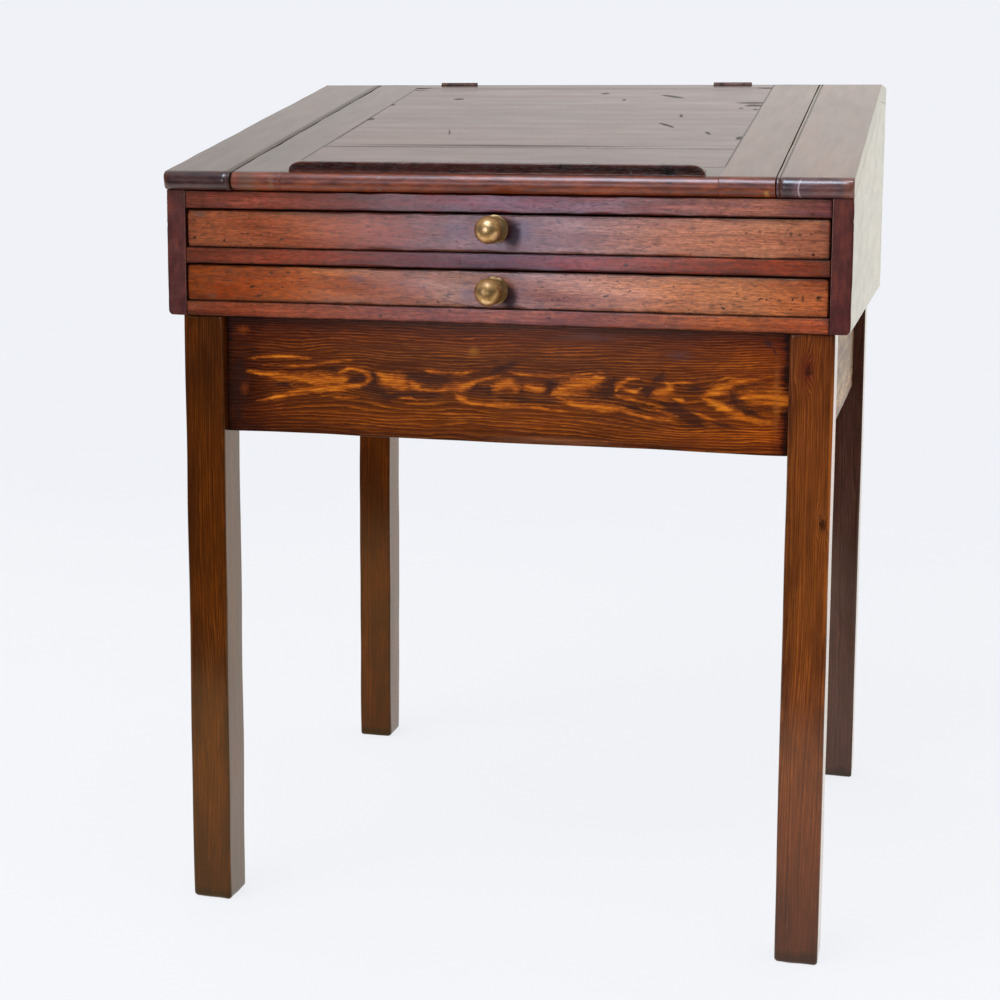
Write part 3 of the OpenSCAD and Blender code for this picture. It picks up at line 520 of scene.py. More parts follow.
def agedBrass(name, look):
    # metal with a brown bloom in patches, fine turning marks and small pits
    brass = Finish(name, "object")
    bloom = brass.cloud(90.0, 5.0, 0.65, 0.3)
    fine = brass.cloud(700.0)
    tarnish = brass.plus(brass.times(bloom, 0.8), brass.times(fine, 0.2))
    brass.colour = brass.tones(tarnish, look["tones"], (0.36, 0.52, 0.68))
    metal = look["metallic"]
    if "darkBehind" in look:
        # the base and the cove: dirt away from the hand, and painted shade that dims their highlight
        brass.mix((80, 60, 30), brass.spread(brass.part(1), *look["darkBehind"]), 0.4)
        # the upper side is painted browner and less metallic: painted shade that dims the highlight from
        # above
        patches = brass.times(brass.minus(bloom, 0.5), 0.8)
        above = brass.plus(brass.attribute("upside"), patches, clamp=True)
        brass.mix((150, 104, 48), above, 0.72)
        metal = brass.minus(metal, brass.times(above, 0.66))
    brass.bump(brass.plus(bloom, brass.times(fine, 0.4)), 0.15, 0.0002)
    brass.set({"Base Color": brass.colour, "Metallic": metal,
               "Roughness": brass.spread(bloom, 0.35, 0.7, *look["rough"])})
    return brass.material


# Stand: four square legs of stained pine

legShape = {"top": 689.0, "side": 47.0, "arris": 2.6, "outX": 364.0, "front": -305.5, "back": 348.5}
legLook = {
    "tones": ((104, 52, 9), (81, 37, 4), (62, 27, 4)), "rough": (0.13, 0.2), "specular": 0.44,
    "glossTint": (1.0, 0.87, 0.74, 1.0), "share": 0.3, "crisp": 0.2, "soften": 0.4, "wobble": 0.8,
    "fray": 0.45, "swell": 2.0, "stain": 0.6, "stainTone": (54, 22, 7), "edge": 0.55, "edgeTone": (36, 16, 8),
    "fade": 0.7, "fadeTone": (78, 36, 5)}
warmGloss = (1.0, 0.74, 0.36, 1.0)
# the legs' grain coordinates are moved apart, along the grain, by this times their seed
legShift = 900
# tones along a leg, by the height above the floor; the wood's colour is multiplied by them
footFade = (
    (0, (96, 78, 76)), (9, (112, 94, 90)), (16, (168, 144, 150)), (60, (176, 158, 168)),
    (150, (194, 186, 184)), (330, (190, 188, 180)), (560, (184, 178, 176)), (689, (172, 162, 160)))
footFadeRight = (
    (0, (88, 74, 84)), (9, (100, 88, 104)), (16, (146, 134, 186)), (60, (158, 148, 202)),
    (150, (178, 172, 216)), (260, (196, 196, 216)), (420, (200, 206, 212)), (560, (192, 190, 198)),
    (689, (176, 168, 166)))


def legPiece(name, seed, pith, spacing, look, zones=footFade, knots=()):
    # a square post whose edges are rounded by a radius that wanders and grows towards the foot; knots are
    # places, sizes and how many rings they lift
    shape, side = legShape, legShape["side"]
    x0 = shape["outX"] - side if name.endswith("right") else -shape["outX"]
    y0 = shape["back"] - side if "rear" in name else shape["front"]
    low = np.array([x0, y0, 0.0])
    high = low + [side, side, shape["top"]]
    points, faces = latticeBox(low, high, (3.2, 3.2, 7.0), (5, 5, 7))
    edge = arrisCloseness(points, low, high, 3.2)
    foot = np.exp(-points[:, 2] / 25)
    radius = shape["arris"] * (1.0 + 0.45 * ripple(points, (30, 30, 70), seed) + 0.9 * foot)
    points = softenBox(points, low, high, np.clip(radius, 1.2, 6.0))
    middle = (low + high) / 2
    outX, outY = np.sign(points[:, 0] - middle[0]), np.sign(points[:, 1] - middle[1])
    pushX = np.minimum(0.28 * ripple(points, (60, 60, 130), seed + 1), 0.1)
    points[:, 0] += outX * pushX * (points[:, 2] < 680)
    points[:, 1] += outY * np.minimum(0.28 * ripple(points, (60, 60, 130), seed + 2), 0.1)
    points[:, 2] += 0.6 * foot * (0.5 + 0.5 * ripple(points, 18, seed + 3)) * (points[:, 2] < 1.0)

    def ring(p):
        # distance from a slowly wandering pith, in ring widths, lifted round the knots
        wander = 3.0 * np.sin(p[:, 2] / 260 + seed) + 1.2 * np.sin(p[:, 2] / 110 + 2 * seed)
        fromPith = p[:, 0] - middle[0] - pith[0] - wander, p[:, 1] - middle[1] - pith[1] - 0.5 * wander
        r = np.hypot(*fromPith) / spacing
        r = r + 0.45 * np.sin(1.3 * r + seed) + 0.3 * ripple(p, (16, 16, 200), seed + 5)
        for centre, size, lift in knots:
            away = (p - np.asarray(centre, float)) / np.array([size, size * 2.5, size * 1.7])
            r = r + lift * np.exp(-(away ** 2).sum(axis=1))
        return r

    look = dict(legLook, alongZones=[(z + legShift * seed, tone) for z, tone in zones], **look)
    makePiece(name, [(points, faces, edge)], "case", stainedPine(name + "_stain", look),
              lambda p: np.stack((p[:, 2] + legShift * seed, p[:, 0], p[:, 1]), axis=1), {"ring": ring})


legPiece(
    "leg_front_left", 3, (-46, -70), 2.2,
    {"glossTint": warmGloss, "tones": ((110, 54, 8), (84, 38, 4), (64, 27, 4))})
legPiece(
    "leg_front_right", 5, (-58, -60), 2.3,
    {
        "tones": ((144, 76, 20), (111, 53, 15), (82, 37, 11)), "fadeTone": (108, 53, 15),
        "marks": (
            mark((5 * legShift + 651, 336), (34, 15), (92, 26, 12), crisp=1.6, ragged=0.5),
            mark((5 * legShift + 649, 337), (15, 8), (34, 13, 7), depth=0.75, crisp=2.6, ragged=0.9, turn=14),
            mark((5 * legShift + 560, 362.5), (120, 2.4), (178, 96, 30), depth=0.55),
            mark((5 * legShift + 488, 356), (17, 8), (36, 14, 7), crisp=2.6, ragged=0.8, turn=-14),
            mark((5 * legShift + 407, 361), (60, 2.2), (170, 88, 22), depth=0.5))},
    footFadeRight, (((337, -305, 649), 10, 3.0), ((356, -305, 488), 9, 2.4)))
legPiece("leg_rear_left", 7, (-60, 30), 2.4,
         {"tones": ((114, 52, 10), (88, 38, 5), (60, 24, 3)), "specular": 0.36, "glossTint": warmGloss})
legPiece("leg_rear_right", 9, (64, 22), 3.2,
         {"tones": ((94, 60, 48), (80, 50, 42), (62, 38, 34)), "fade": 0.6, "fadeTone": (76, 48, 42)})
print("legs made")


# Stand: aprons, the front one with the figure of a board cut near the bark

apronShape = {
    "low": 557.0, "high": 688.9, "front": (-294.5, -274.5), "rear": (317.5, 337.5), "side": (329.0, 349.0),
    "halfLength": 317.0}
apronLook = {
    "tones": ((166, 92, 11), (97, 46, 2), (44, 18, 2)), "rough": (0.2, 0.32), "specular": 0.13, "swell": 4.0,
    "share": 0.26, "crisp": 0.16, "soften": 0.26, "wobble": 1.0, "fray": 0.8, "stain": 0.4,
    "stainTone": (52, 22, 8), "edge": 0.5, "edgeTone": (44, 20, 12), "glossTint": (1.0, 0.87, 0.74, 1.0),
    "fade": 0.65, "fadeTone": (96, 44, 5), "flameTones": ((116, 50, 4), (180, 88, 8), (226, 130, 24)),
    "shadeTone": (44, 19, 14),
    # up the board; the darker top is painted shade under the case
    "zones": (
        (557, (146, 134, 140)), (565, (172, 158, 144)), (576, (206, 192, 160)), (600, (172, 162, 136)),
        (640, (168, 152, 126)), (654, (184, 170, 148)), (668, (180, 156, 138)), (680, (154, 120, 124)),
        (689, (116, 88, 96))),
    # along the board; the dark ends are dirt in the joints and painted shade beside the legs
    "alongZones": (
        (-317, (60, 50, 50)), (-311, (120, 104, 100)), (-285, (124, 104, 96)), (-262, (158, 144, 132)),
        (-210, (172, 164, 156)), (-150, (186, 184, 182)), (150, (202, 198, 182)), (270, (224, 214, 176)),
        (298, (220, 204, 164)), (309, (186, 156, 130)), (312, (110, 80, 76)), (317, (70, 56, 60))),
    "marks": (
        mark((-297, 673), (15, 9), (182, 84, 14), depth=0.55, crisp=1.1, ragged=0.7),
        mark((-296, 606), (11, 17), (158, 70, 18), depth=0.48, crisp=1.1, ragged=0.8),
        mark((-27, 657), (11, 10), (176, 116, 24), depth=0.55, crisp=1.1, ragged=0.5),
        mark((294, 676), (9, 6), (44, 26, 34), crisp=2, ragged=0.6, turn=-40),
        mark((301, 668), (10, 2.4), (44, 26, 34), crisp=2, ragged=0.6, turn=-60),
        mark((200, 660), (30, 12), (96, 70, 76), depth=0.5, crisp=1, ragged=0.7),
        mark((100, 677), (60, 8), (116, 78, 78), depth=0.5, crisp=1, ragged=0.5),
        # a pale band above the lower edge: wear, and a painted highlight on the rounded edge
        mark((60, 562), (110, 7), (150, 100, 74), depth=0.5, crisp=1, ragged=0.4),
        mark((304, 620), (7, 70), (168, 92, 34), depth=0.6, crisp=1, ragged=0.5))}
# upper and lower outline of the flames along the board, which the year rings outside follow
apronOutline = {
    "x": (-317, -290, -250, -200, -170, -140, -110, -85, -50, -20, 20, 60, 110, 150, 200, 240, 280, 317),
    "above": (632, 632, 631, 633, 637, 631, 631, 630, 630, 632, 637, 634, 640, 641, 638, 640, 645, 648),
    "below": (588, 588, 597, 603, 607, 596, 601, 596, 603, 598, 597, 595, 594, 591, 585, 589, 588, 588),
}
# the flames and the dark patches between them are strokes: x, z and half width at each of their points
apronFlames = (
    ((-282, 592, 1.2), (-262, 596, 2.4), (-240, 603, 3.6), (-215, 608, 4.6), (-190, 611, 4.8),
        (-168, 613, 3.2), (-154, 616, 1.8)),
    ((-294, 626, 1.6), (-270, 623, 3.6), (-245, 620, 5.0), (-215, 619, 6.5), (-195, 619, 7.5),
        (-182, 620, 6.0), (-172, 620, 3.0)),
    ((-184, 627, 3.2), (-172, 633, 2.2), (-160, 632, 2.0), (-150, 628.5, 2.2), (-146.5, 623, 2.4),
        (-151, 617, 2.0), (-162, 614.5, 1.8)),
    ((-140, 629, 3.0), (-126, 623, 7.0), (-117, 621, 8.0), (-109, 618, 6.5), (-104, 614, 3.0)),
    ((-102, 621, 1.8), (-96, 617, 3.8), (-88, 613, 2.2), (-76, 612, 1.6), (-66, 612, 1.8), (-56, 615, 3.4),
        (-43, 616, 4.6), (-33, 619, 3.0), (-24, 625, 1.6), (-8, 628, 1.6), (4, 632, 1.4)),
    ((-48, 609, 1.6), (-41, 604, 3.4), (-32, 600, 2.8), (-10, 599, 2.2), (15, 600, 2.2), (40, 598, 1.6),
        (62, 596, 1.4), (84, 595, 1.2)),
    ((-7, 619, 2.4), (2, 620, 4.8), (12, 622, 6.2), (18, 619, 5.0), (22, 616, 2.2)),
    ((14, 636, 2.0), (26, 633.5, 2.0), (44, 632.5, 1.5), (62, 633, 1.5), (82, 634, 1.6), (100, 637, 1.4),
        (130, 640, 1.2)),
    ((30, 621, 2.4), (38, 620, 4.6), (46, 618.5, 4.6), (53, 616, 2.2)),
    ((60, 613, 2.2), (74, 619, 6.5), (88, 624, 9.0), (101, 628, 7.5), (112, 632, 4.5), (120, 634, 2.2)),
    ((68, 610, 3.2), (84, 605, 4.6), (100, 602, 4.4), (120, 600, 4.2), (138, 600, 3.0), (152, 595, 2.0),
        (168, 592, 2.2), (186, 590, 1.9), (206, 588, 1.2)),
    ((88, 613, 3.5), (100, 613, 2.0)), ((131, 618, 2.2), (136, 627, 3.2), (146, 633, 2.2), (156, 634, 1.2)),
    ((131, 615, 2.0), (141, 612, 1.8), (152, 611, 2.0), (163, 608, 1.4)),
    ((172, 618, 2.8), (181, 618, 5.4), (189, 621, 4.0), (191, 628, 2.8), (184, 632, 1.8)),
    ((194, 631, 1.8), (204, 631.5, 2.2), (213, 632, 1.6)),
    ((194, 614, 1.8), (203, 612, 2.4), (210, 610, 1.6)), ((168, 604, 1.2), (184, 598, 1.6), (200, 594, 1.3)),
    ((222, 616, 2.2), (235, 621, 5.2), (246, 627, 6.2), (256, 632, 4.2), (272, 636, 2.6), (288, 639, 1.8),
        (304, 643, 1.4)),
    ((224, 616, 2.2), (236, 611, 3.6), (247, 606, 5.2), (259, 600, 5.2), (271, 596, 3.8), (286, 593, 3.2),
        (303, 592, 2.8)),
    ((266, 617, 2.4), (277, 619, 7.0), (290, 617, 11.0), (306, 616, 12.5), (330, 616, 12.0)),
    ((214, 600, 1.5), (226, 596, 2.0), (240, 592, 1.4)),
    ((-292, 640, 1.2), (-272, 643, 1.9), (-250, 644, 2.1), (-232, 644, 1.9), (-216, 643, 1.2)),
    ((-272, 633, 1.1), (-232, 634, 1.3), (-204, 637, 1.4), (-186, 641, 1.5), (-168, 643, 1.2)),
    ((-92, 636, 1.2), (-75, 633, 1.6), (-58, 632, 1.3), (-40, 632, 1.3), (-30, 635, 1.6), (-20, 636, 1.2)),
    ((-205, 601, 1.2), (-182, 600, 1.5), (-160, 601, 1.3)),
    ((-112, 602, 1.1), (-100, 603, 1.4), (-92, 600, 1.1)),
    ((140, 622, 3.0), (152, 620, 3.4), (160, 624, 2.0)), ((236, 632, 1.4), (250, 638, 1.4), (270, 642, 1.2)))
apronShades = (
    ((-170, 623, 3.5), (-160, 623, 5.4), (-152, 623, 3.5)),
    ((-206, 630, 2.0), (-190, 632, 2.6), (-182, 633, 1.6)),
    ((-158, 610, 2.5), (-146, 611, 6.0), (-136, 608, 9.0), (-126, 603, 6.5), (-112, 606, 4.0),
        (-96, 606, 5.0), (-76, 607, 3.4), (-60, 607, 2.0)),
    ((-143, 631, 2.5), (-141, 622, 4.0), (-137, 614, 4.0)),
    ((-103, 632, 3.0), (-96, 627, 6.0), (-82, 624, 8.0), (-64, 625, 7.0), (-52, 625, 3.0)),
    ((-33, 612, 3.0), (-24, 617, 7.5), (-14, 614, 7.5), (-8, 609, 3.0)),
    ((-10, 633, 2.0), (4, 639, 4.5), (16, 644, 4.0), (20, 648, 2.0)),
    ((26, 628, 3.0), (24, 620, 3.0), (28, 612, 2.5)), ((56, 630, 3.0), (60, 623, 6.5), (58, 616, 4.0)),
    ((0, 608, 1.8), (30, 606, 2.4), (64, 604, 2.0)),
    ((110, 620, 4.0), (121, 617, 9.0), (127, 624, 7.0), (130, 634, 4.0)),
    ((136, 607, 2.0), (150, 603, 3.4), (166, 598, 2.0)), ((150, 622, 7.0), (166, 622, 7.0), (166, 614, 4.0)),
    ((172, 630, 4.0), (179, 636, 4.0), (184, 643, 2.0)),
    ((182, 608, 6.0), (196, 604, 7.5), (206, 597, 8.0), (216, 590, 8.0), (228, 584, 4.0)),
    ((206, 622, 3.0), (216, 624, 5.0), (222, 627, 2.5)), ((238, 590, 3.0), (250, 586, 3.0), (268, 584, 2.0)),
    ((256, 621, 6.0), (260, 613, 7.5), (268, 606, 5.0), (280, 601, 3.0), (292, 598, 1.8)),
    ((262, 628, 3.0), (280, 632, 2.2), (296, 635, 1.6)),
    ((-300, 640, 6.0), (-304, 620, 8.0), (-306, 590, 8.0), (-303, 570, 6.0)),
    ((-262, 612, 3.0), (-244, 613, 4.0), (-232, 614, 2.0)))


def strokeField(points, strokes):
    # the largest, over the straight parts of all strokes, of peak * (1 - distance / reach) in the board's
    # front elevation; the reach is a little over the half width, a distance along the board counts 0.62 of
    # itself, and the peak is 1, or less for a stroke under 3 mm of half width
    x, z = points[:, 0], points[:, 2]
    field = np.full(len(points), -4.0)
    for stroke in strokes:
        # both ends run out thin
        (ax, az, aw), (bx, bz, bw) = stroke[0], stroke[-1]
        stroke = ((ax, az, 0.35 * aw),) + stroke[1:-1] + ((bx, bz, 0.35 * bw),)
        for (ax, az, aw), (bx, bz, bw) in zip(stroke, stroke[1:]):
            dx, dz = bx - ax, bz - az
            along = np.clip(((x - ax) * dx + (z - az) * dz) / (dx ** 2 + dz ** 2), 0.0, 1.0)
            away = np.hypot(0.62 * (x - ax - along * dx), z - az - along * dz)
            width = aw + along * (bw - aw)
            peak = np.clip(0.3 + 0.24 * width, 0.0, 1.0)
            field = np.maximum(field, peak * (1.0 - away / (0.3 + 1.1 * width)))
    return field


def apronRing(p, seed):
    # rings as level lines whose distance grows downwards; near the flames they are lifted or lowered to
    # follow the outline, and that shift dies away with the distance from it
    soft = np.linspace(-24, 24, 9)[:, None]
    above, below = (np.interp(p[:, 0] + soft, apronOutline["x"], apronOutline[key]).mean(axis=0)
                    for key in ("above", "below"))
    share = np.clip((p[:, 2] - below) / (above - below), 0.0, 1.0)
    share = share * share * (3 - 2 * share)
    lift = (above - 636) * np.exp(-np.maximum(p[:, 2] - above, 0.0) / 30)
    drop = (below - 595) * np.exp(-np.maximum(below - p[:, 2], 0.0) / 26)
    level = p[:, 2] - (share * lift + (1 - share) * drop)
    level = level + 0.9 * ripple(p, (80, 60, 40), seed + 2) + 0.5 * ripple(p, (26, 60, 16), seed + 3)
    level += (p[:, 1] - apronShape["front"][0]) * 0.8
    return -73.1 * np.log(np.maximum(3.1 + (665 - level) * 0.01368, 0.5))


def plainRing(p, along, seed, middle):
    # rings round a pith behind the face: its distance in ring widths of 3.5 mm
    height = middle + 12 * np.sin(p[:, along] / 170 + seed)
    behind = 26 + 6 * np.sin(p[:, along] / 95 + seed) + np.abs(np.abs(p[:, 1 - along]) - 349)
    return np.hypot(p[:, 2] - height, behind) / 3.5 + 0.3 * ripple(p, (60, 60, 20), seed)


def apronPiece(name, low, high, along, seed, look, fields, extra=((), (), ())):
    # a box with rounded edges and a lower edge that waves; along is the axis of its length, 0 or 1
    low, high = np.array(low), np.array(high)
    steps = (4.0, 5.0, 3.0) if along == 0 else (5.0, 4.0, 3.0)
    points, faces = latticeBox(low, high, steps, (4.0, 4.0, 4.0), extra)
    edge = arrisCloseness(points, low, high, 3.0)
    radius = 1.6 * (1.0 + 0.5 * ripple(points, 60, seed + 4)) * np.where(points[:, 2] < 600, 1.0, 0.4)
    points = softenBox(points, low, high, np.clip(radius, 0.4, 3.5))
    points[:, 2] += 0.5 * ripple(points * [1, 1, 0], 140, seed + 5) * (points[:, 2] < apronShape["low"] + 40)
    order = (0, 2, 1) if along == 0 else (1, 2, 0)
    makePiece(name, [(points, faces, edge)], "case", stainedPine(name + "_stain", look),
              lambda p: p[:, order], fields)


shape = apronShape
half, low, high = shape["halfLength"], shape["low"], shape["high"]
near, far = legShape["front"] + legShape["side"], legShape["back"] - legShape["side"]
plainLook = dict(
    apronLook, tones=((128, 66, 18), (92, 44, 14), (64, 30, 14)), crisp=0.12, soften=0.3, marks=())
for key in ("alongZones", "flameTones"):
    plainLook.pop(key)
# the right apron takes pale tones: painted glare on its face, which is seen at a grazing angle
rightLook = dict(plainLook, tones=((200, 172, 150), (174, 150, 130), (138, 118, 106)), specular=0.32,
                 rough=(0.42, 0.5), glossTint=(1.0, 1.0, 1.0, 1.0))
(front, frontBack), (rearFront, rear), (inner, outer) = shape["front"], shape["rear"], shape["side"]
apronPiece("apron_front", (-half, front, low), (half, frontBack, high), 0, 21, apronLook,
           {"ring": lambda p: apronRing(p, 21), "blaze": lambda p: strokeField(p, apronFlames),
            "darkPatch": lambda p: strokeField(p, apronShades)},
           (np.arange(-310, 312, 2.0), (), np.arange(584, 650, 1.3)))
apronPiece("apron_rear", (-half, rearFront, low), (half, rear, high), 0, 23, plainLook,
           {"ring": lambda p: plainRing(p, 0, 23, 600)})
apronPiece("apron_left", (-outer, near, low), (-inner, far, high), 1, 25, plainLook,
           {"ring": lambda p: plainRing(p, 1, 25, 630)})
apronPiece("apron_right", (inner, near, low), (outer, far, high), 1, 27, rightLook,
           {"ring": lambda p: plainRing(p, 1, 27, 590)})
print("aprons made")


# Case: two sides, whose front edges stand beside the rails

sideShape = {
    "inner": 358.0, "outer": 380.0, "frontTop": 140.0, "backTop": 252.08, "slopeRun": 527.3, "lowArris": 5.0,
    "rebateX": 368.0, "rebateY": 339.5}
sideLook = {
    "tones": ((66, 28, 22), (96, 46, 36), (124, 66, 52)), "rough": (0.22, 0.3), "specular": 0.5, "pores": 0.4,
    "edge": 0.4, "edgeTone": (44, 22, 19), "patch": 0.25, "zoneAxis": 0, "bump": 0.12, "zoneWander": 0.0,
    "glossZones": (
        (-312, (1.0, 0.76, 0.58)), (-307, (1.0, 0.82, 0.66)), (-304, (1.0, 1.0, 1.0)),
        (353, (1.0, 1.0, 1.0))),
    "zones": (
        (-312, (176, 160, 156)), (-306, (170, 150, 146)), (-280, (176, 172, 158)), (353, (188, 186, 180))),
    "nose": {
        "axis": 0, "from": -309.5, "to": -307.5, "tones": ((62, 25, 29), (86, 38, 39), (116, 51, 44)),
        "rougher": 0.0, "knocks": 0.0}}
sideLooks = {
    "side_left": {"tones": ((74, 36, 24), (90, 46, 32), (108, 58, 42)), "mottle": 0.12},
    "side_right": {
        "tones": ((64, 32, 20), (90, 52, 34), (116, 74, 50)), "mottle": 0.06, "fibre": 0.08, "bump": 0.04,
        "rough": (0.2, 0.23), "patch": 0.1, "wave": 0.5,
        "marks": (
            mark((236, 850), (5, 150), (50, 34, 28), depth=0.6, ragged=0.3, matt=0.3),
            mark((322, 790), (4, 110), (50, 34, 28), depth=0.6, ragged=0.3, matt=0.34),
            mark((120, 880), (5, 60), (50, 34, 28), depth=0.5, ragged=0.4, matt=0.12))}}


def sidePiece(name, atRight, seed):
    # made as the right side, from a square block whose top then takes the slope, and mirrored for the left
    shape = sideShape
    low = np.array([shape["inner"], desk["caseFront"], 0.0])
    high = np.array([shape["outer"], desk["caseBack"], shape["backTop"]])
    rebate = (shape["rebateX"] - 0.1, shape["rebateX"] + 0.1)
    points, faces = latticeBox(low, high, (2.5, 7.0, 5.0), (4.5, 6.0, 7.0), (rebate, (), ()))
    edge = arrisCloseness(points, low, high, 3.5)
    radius = np.where(points[:, 0] > shape["rebateX"] + 1, 1.0 + 0.5 * ripple(points, 34, seed), 0.4)
    points = softenBox(points, low, high, np.clip(radius, 0.3, 2.0))
    # the lower outer corner is a quarter disc in the front elevation
    r = shape["lowArris"]
    dx, dz = points[:, 0] - (high[0] - r), (low[2] + r) - points[:, 2]
    scale = quarterRound(dx, dz) - 1.0
    points[:, 0] += dx * scale
    points[:, 2] -= dz * scale
    outward = points[:, 0] > shape["outer"] - 2
    points[:, 0] += outward * 0.35 * np.minimum(ripple(points, (40, 60, 40), seed + 1), 0.0)
    frontWave = np.exp(-(points[:, 1] - low[1]) / 6) * (points[:, 0] > shape["outer"] - 4)
    points[:, 0] -= frontWave * np.maximum(0.6 * ripple(points * [0, 0, 1], 17, seed + 2) - 0.2, 0.0)
    run = points[:, 1] - desk["caseFront"]
    top = np.where(run < shape["slopeRun"], shape["frontTop"] + run * slopeTan, shape["backTop"])
    squared = 100        # the block stays square up to here
    raised = squared + (points[:, 2] - squared) * (top - squared) / (shape["backTop"] - squared)
    points[:, 2] = np.where(points[:, 2] > squared, raised, points[:, 2]) + desk["caseUnder"]
    share = (points[:, 1] - low[1]) / (high[1] - low[1])
    rebated = low[1] + share * (shape["rebateY"] - low[1])
    points[:, 1] = np.where(points[:, 0] < shape["rebateX"], rebated, points[:, 1])
    if not atRight:
        points[:, 0] *= -1
    shift = 400 if atRight else 0
    look = dict(sideLook, **sideLooks[name])
    makePiece(name, [(points, faces, edge)], "case", mahogany(name + "_wood", look),
              lambda p: p[:, (1, 2, 0)] + [0, 0, shift])


sidePiece("side_left", False, 31)
sidePiece("side_right", True, 33)


# Case: the three rails of the front

# tint of the shine along the front, from left to right
frontGloss = (
    (-360, (1.0, 0.80, 0.42)), (-240, (1.0, 0.82, 0.52)), (-130, (0.96, 0.88, 0.86)), (0, (0.88, 0.84, 1.0)),
    (90, (0.94, 0.88, 1.0)), (200, (1.0, 0.9, 0.8)), (360, (1.0, 0.82, 0.55)))
railLook = {
    "glossZones": frontGloss, "tones": ((84, 34, 26), (118, 54, 42), (150, 76, 58)), "rough": (0.2, 0.29),
    "specular": 0.4, "pores": 0.5, "edge": 0.65, "edgeTone": (50, 22, 18), "patch": 0.3, "bloom": 0.2,
    "mottle": 0.34, "bump": 0.13, "wave": 0.5, "specks": 0.8, "broad": 0.65, "rim": 0.85, "fibre": 0.2}
# the rails' grain coordinates are moved apart, square to their front, by this times their seed
railShift = 90
# the zones of each rail hold its own tone along the front and a painted bluish sheen, a window's reflection
rails = {
    "top_rail": {
        "low": 120.0, "high": 139.9, "depth": 60.0, "followsSlope": True, "seed": 41,
        "zones": (
            (-360, (187, 170, 186)), (-290, (215, 189, 186)), (-180, (190, 154, 169)), (-60, (167, 114, 134)),
            (60, (170, 121, 141)), (180, (206, 202, 229)), (300, (227, 253, 255)), (344, (197, 209, 249)),
            (360, (151, 160, 220)))},
    "middle_rail": {
        "low": 59.0, "high": 77.0, "depth": 42.0, "seed": 43,
        "marks": (mark((143.9, 756.6), (3, 1.5), (28, 12, 12), crisp=3),),
        "zones": (
            (-360, (177, 161, 150)), (-200, (186, 134, 108)), (-80, (135, 68, 70)), (0, (112, 48, 58)),
            (80, (156, 85, 75)), (290, (249, 186, 114)), (344, (195, 163, 115)), (360, (154, 138, 123)))},
    "bottom_rail": {
        "low": 0.0, "high": 17.0, "depth": 42.0, "seed": 45,
        "tones": ((112, 48, 28), (150, 76, 50), (186, 104, 70)),
        "zones": (
            (-360, (146, 129, 129)), (-280, (176, 144, 129)), (-60, (150, 139, 158)), (120, (204, 192, 174)),
            (260, (255, 254, 180)), (340, (247, 216, 170)), (360, (149, 144, 154)))}}


def railPiece(name, rail):
    # a box whose front edges are rounded by a wandering radius; the top one's upper face follows the slope
    low = np.array([-358.0, desk["caseFront"], rail["low"]])
    high = np.array([358.0, desk["caseFront"] + rail["depth"], rail["high"]])
    points, faces = latticeBox(low, high, (6.0, 8.0, 2.5), (4, 4, 4))
    edge = arrisCloseness(points, low, high, 3.2)
    worn = 1.0 + 0.6 * ripple(points, (26, 20, 20), rail["seed"])
    radius = np.where(points[:, 1] < low[1] + 6, 1.5, 0.5) * worn
    points = softenBox(points, low, high, np.clip(radius, 0.3, 3.0))
    chip = 0.2 * np.exp(-(points[:, 1] - low[1]) / 3.0) * ripple(points * [1, 0, 0], 17, rail["seed"] + 1)
    points[:, 2] -= chip * np.sign(points[:, 2] - (low[2] + high[2]) / 2)
    if rail.get("followsSlope"):
        share = (points[:, 2] - low[2]) / (high[2] - low[2])
        points[:, 2] += share * (points[:, 1] - low[1]) * slopeTan
    points[:, 2] += desk["caseUnder"]
    shift = railShift * rail["seed"]
    look = dict(railLook, body=desk["caseFront"] + shift, zones=rail["zones"],
                tones=rail.get("tones", railLook["tones"]), marks=rail.get("marks", ()))
    makePiece(name, [(points, faces, edge)], "case", mahogany(name + "_wood", look),
              lambda p: p[:, (0, 2, 1)] + [0, 0, shift])


for name, rail in rails.items():
    railPiece(name, rail)
print("case made")


# Slope: boards that run from front to back, and lid members, all with a rounded front edge

slopeLook = {
    "tones": ((58, 32, 22), (70, 42, 30), (84, 54, 40)), "rough": (0.235, 0.265), "specular": 0.5,
    "ior": 1.55, "pores": 0.1, "poreCut": 0.0, "poreRough": 0.0, "poreScale": (50.0, 1200.0, 1200.0),
    "poreFrom": 0.6, "edge": 0.25, "edgeTone": (38, 20, 16), "patch": 0.08, "bump": 0.02, "wave": 0.3,
    "fibre": 0.06, "mottle": 0.06,
    "nose": {
        "axis": 0, "from": -0.5, "to": 3.0, "tones": ((74, 24, 4), (116, 45, 8), (156, 70, 18)),
        "rougher": 0.11, "knocks": 0.3, "gloss": (0.98, 0.96, 1.0)}}
boardNose = {
    "axis": 0, "from": -0.5, "to": 3.0, "tones": ((42, 17, 17), (62, 30, 30), (88, 50, 46)), "rougher": 0.06,
    "knocks": 0.2}
# the grain coordinates of the slope's pieces are moved apart, upwards, by this times their seed
slopeShift = 50


def toSlope(points):
    # slope coordinates (across, up the slope, square to it) turned by 12 degrees about the front of the case
    x, u, w = points[:, 0], points[:, 1], points[:, 2]
    y = desk["caseFront"] + u * slopeCos - w * slopeSin
    z = desk["caseUnder"] + desk["slopeFoot"] + u * slopeSin + w * slopeCos
    return np.stack((x, y, z), axis=1)


def slopeGrain(seed, alongSlope):
    # along the grain, across it and square to the slope, for a board up the slope or one across it
    def grain(p):
        run, rise = p[:, 1] - desk["caseFront"], p[:, 2] - desk["caseUnder"] - desk["slopeFoot"]
        u = run * slopeCos + rise * slopeSin
        w = rise * slopeCos - run * slopeSin + slopeShift * seed
        return np.stack((u, p[:, 0], w) if alongSlope else (p[:, 0], u, w), axis=1)

    return grain


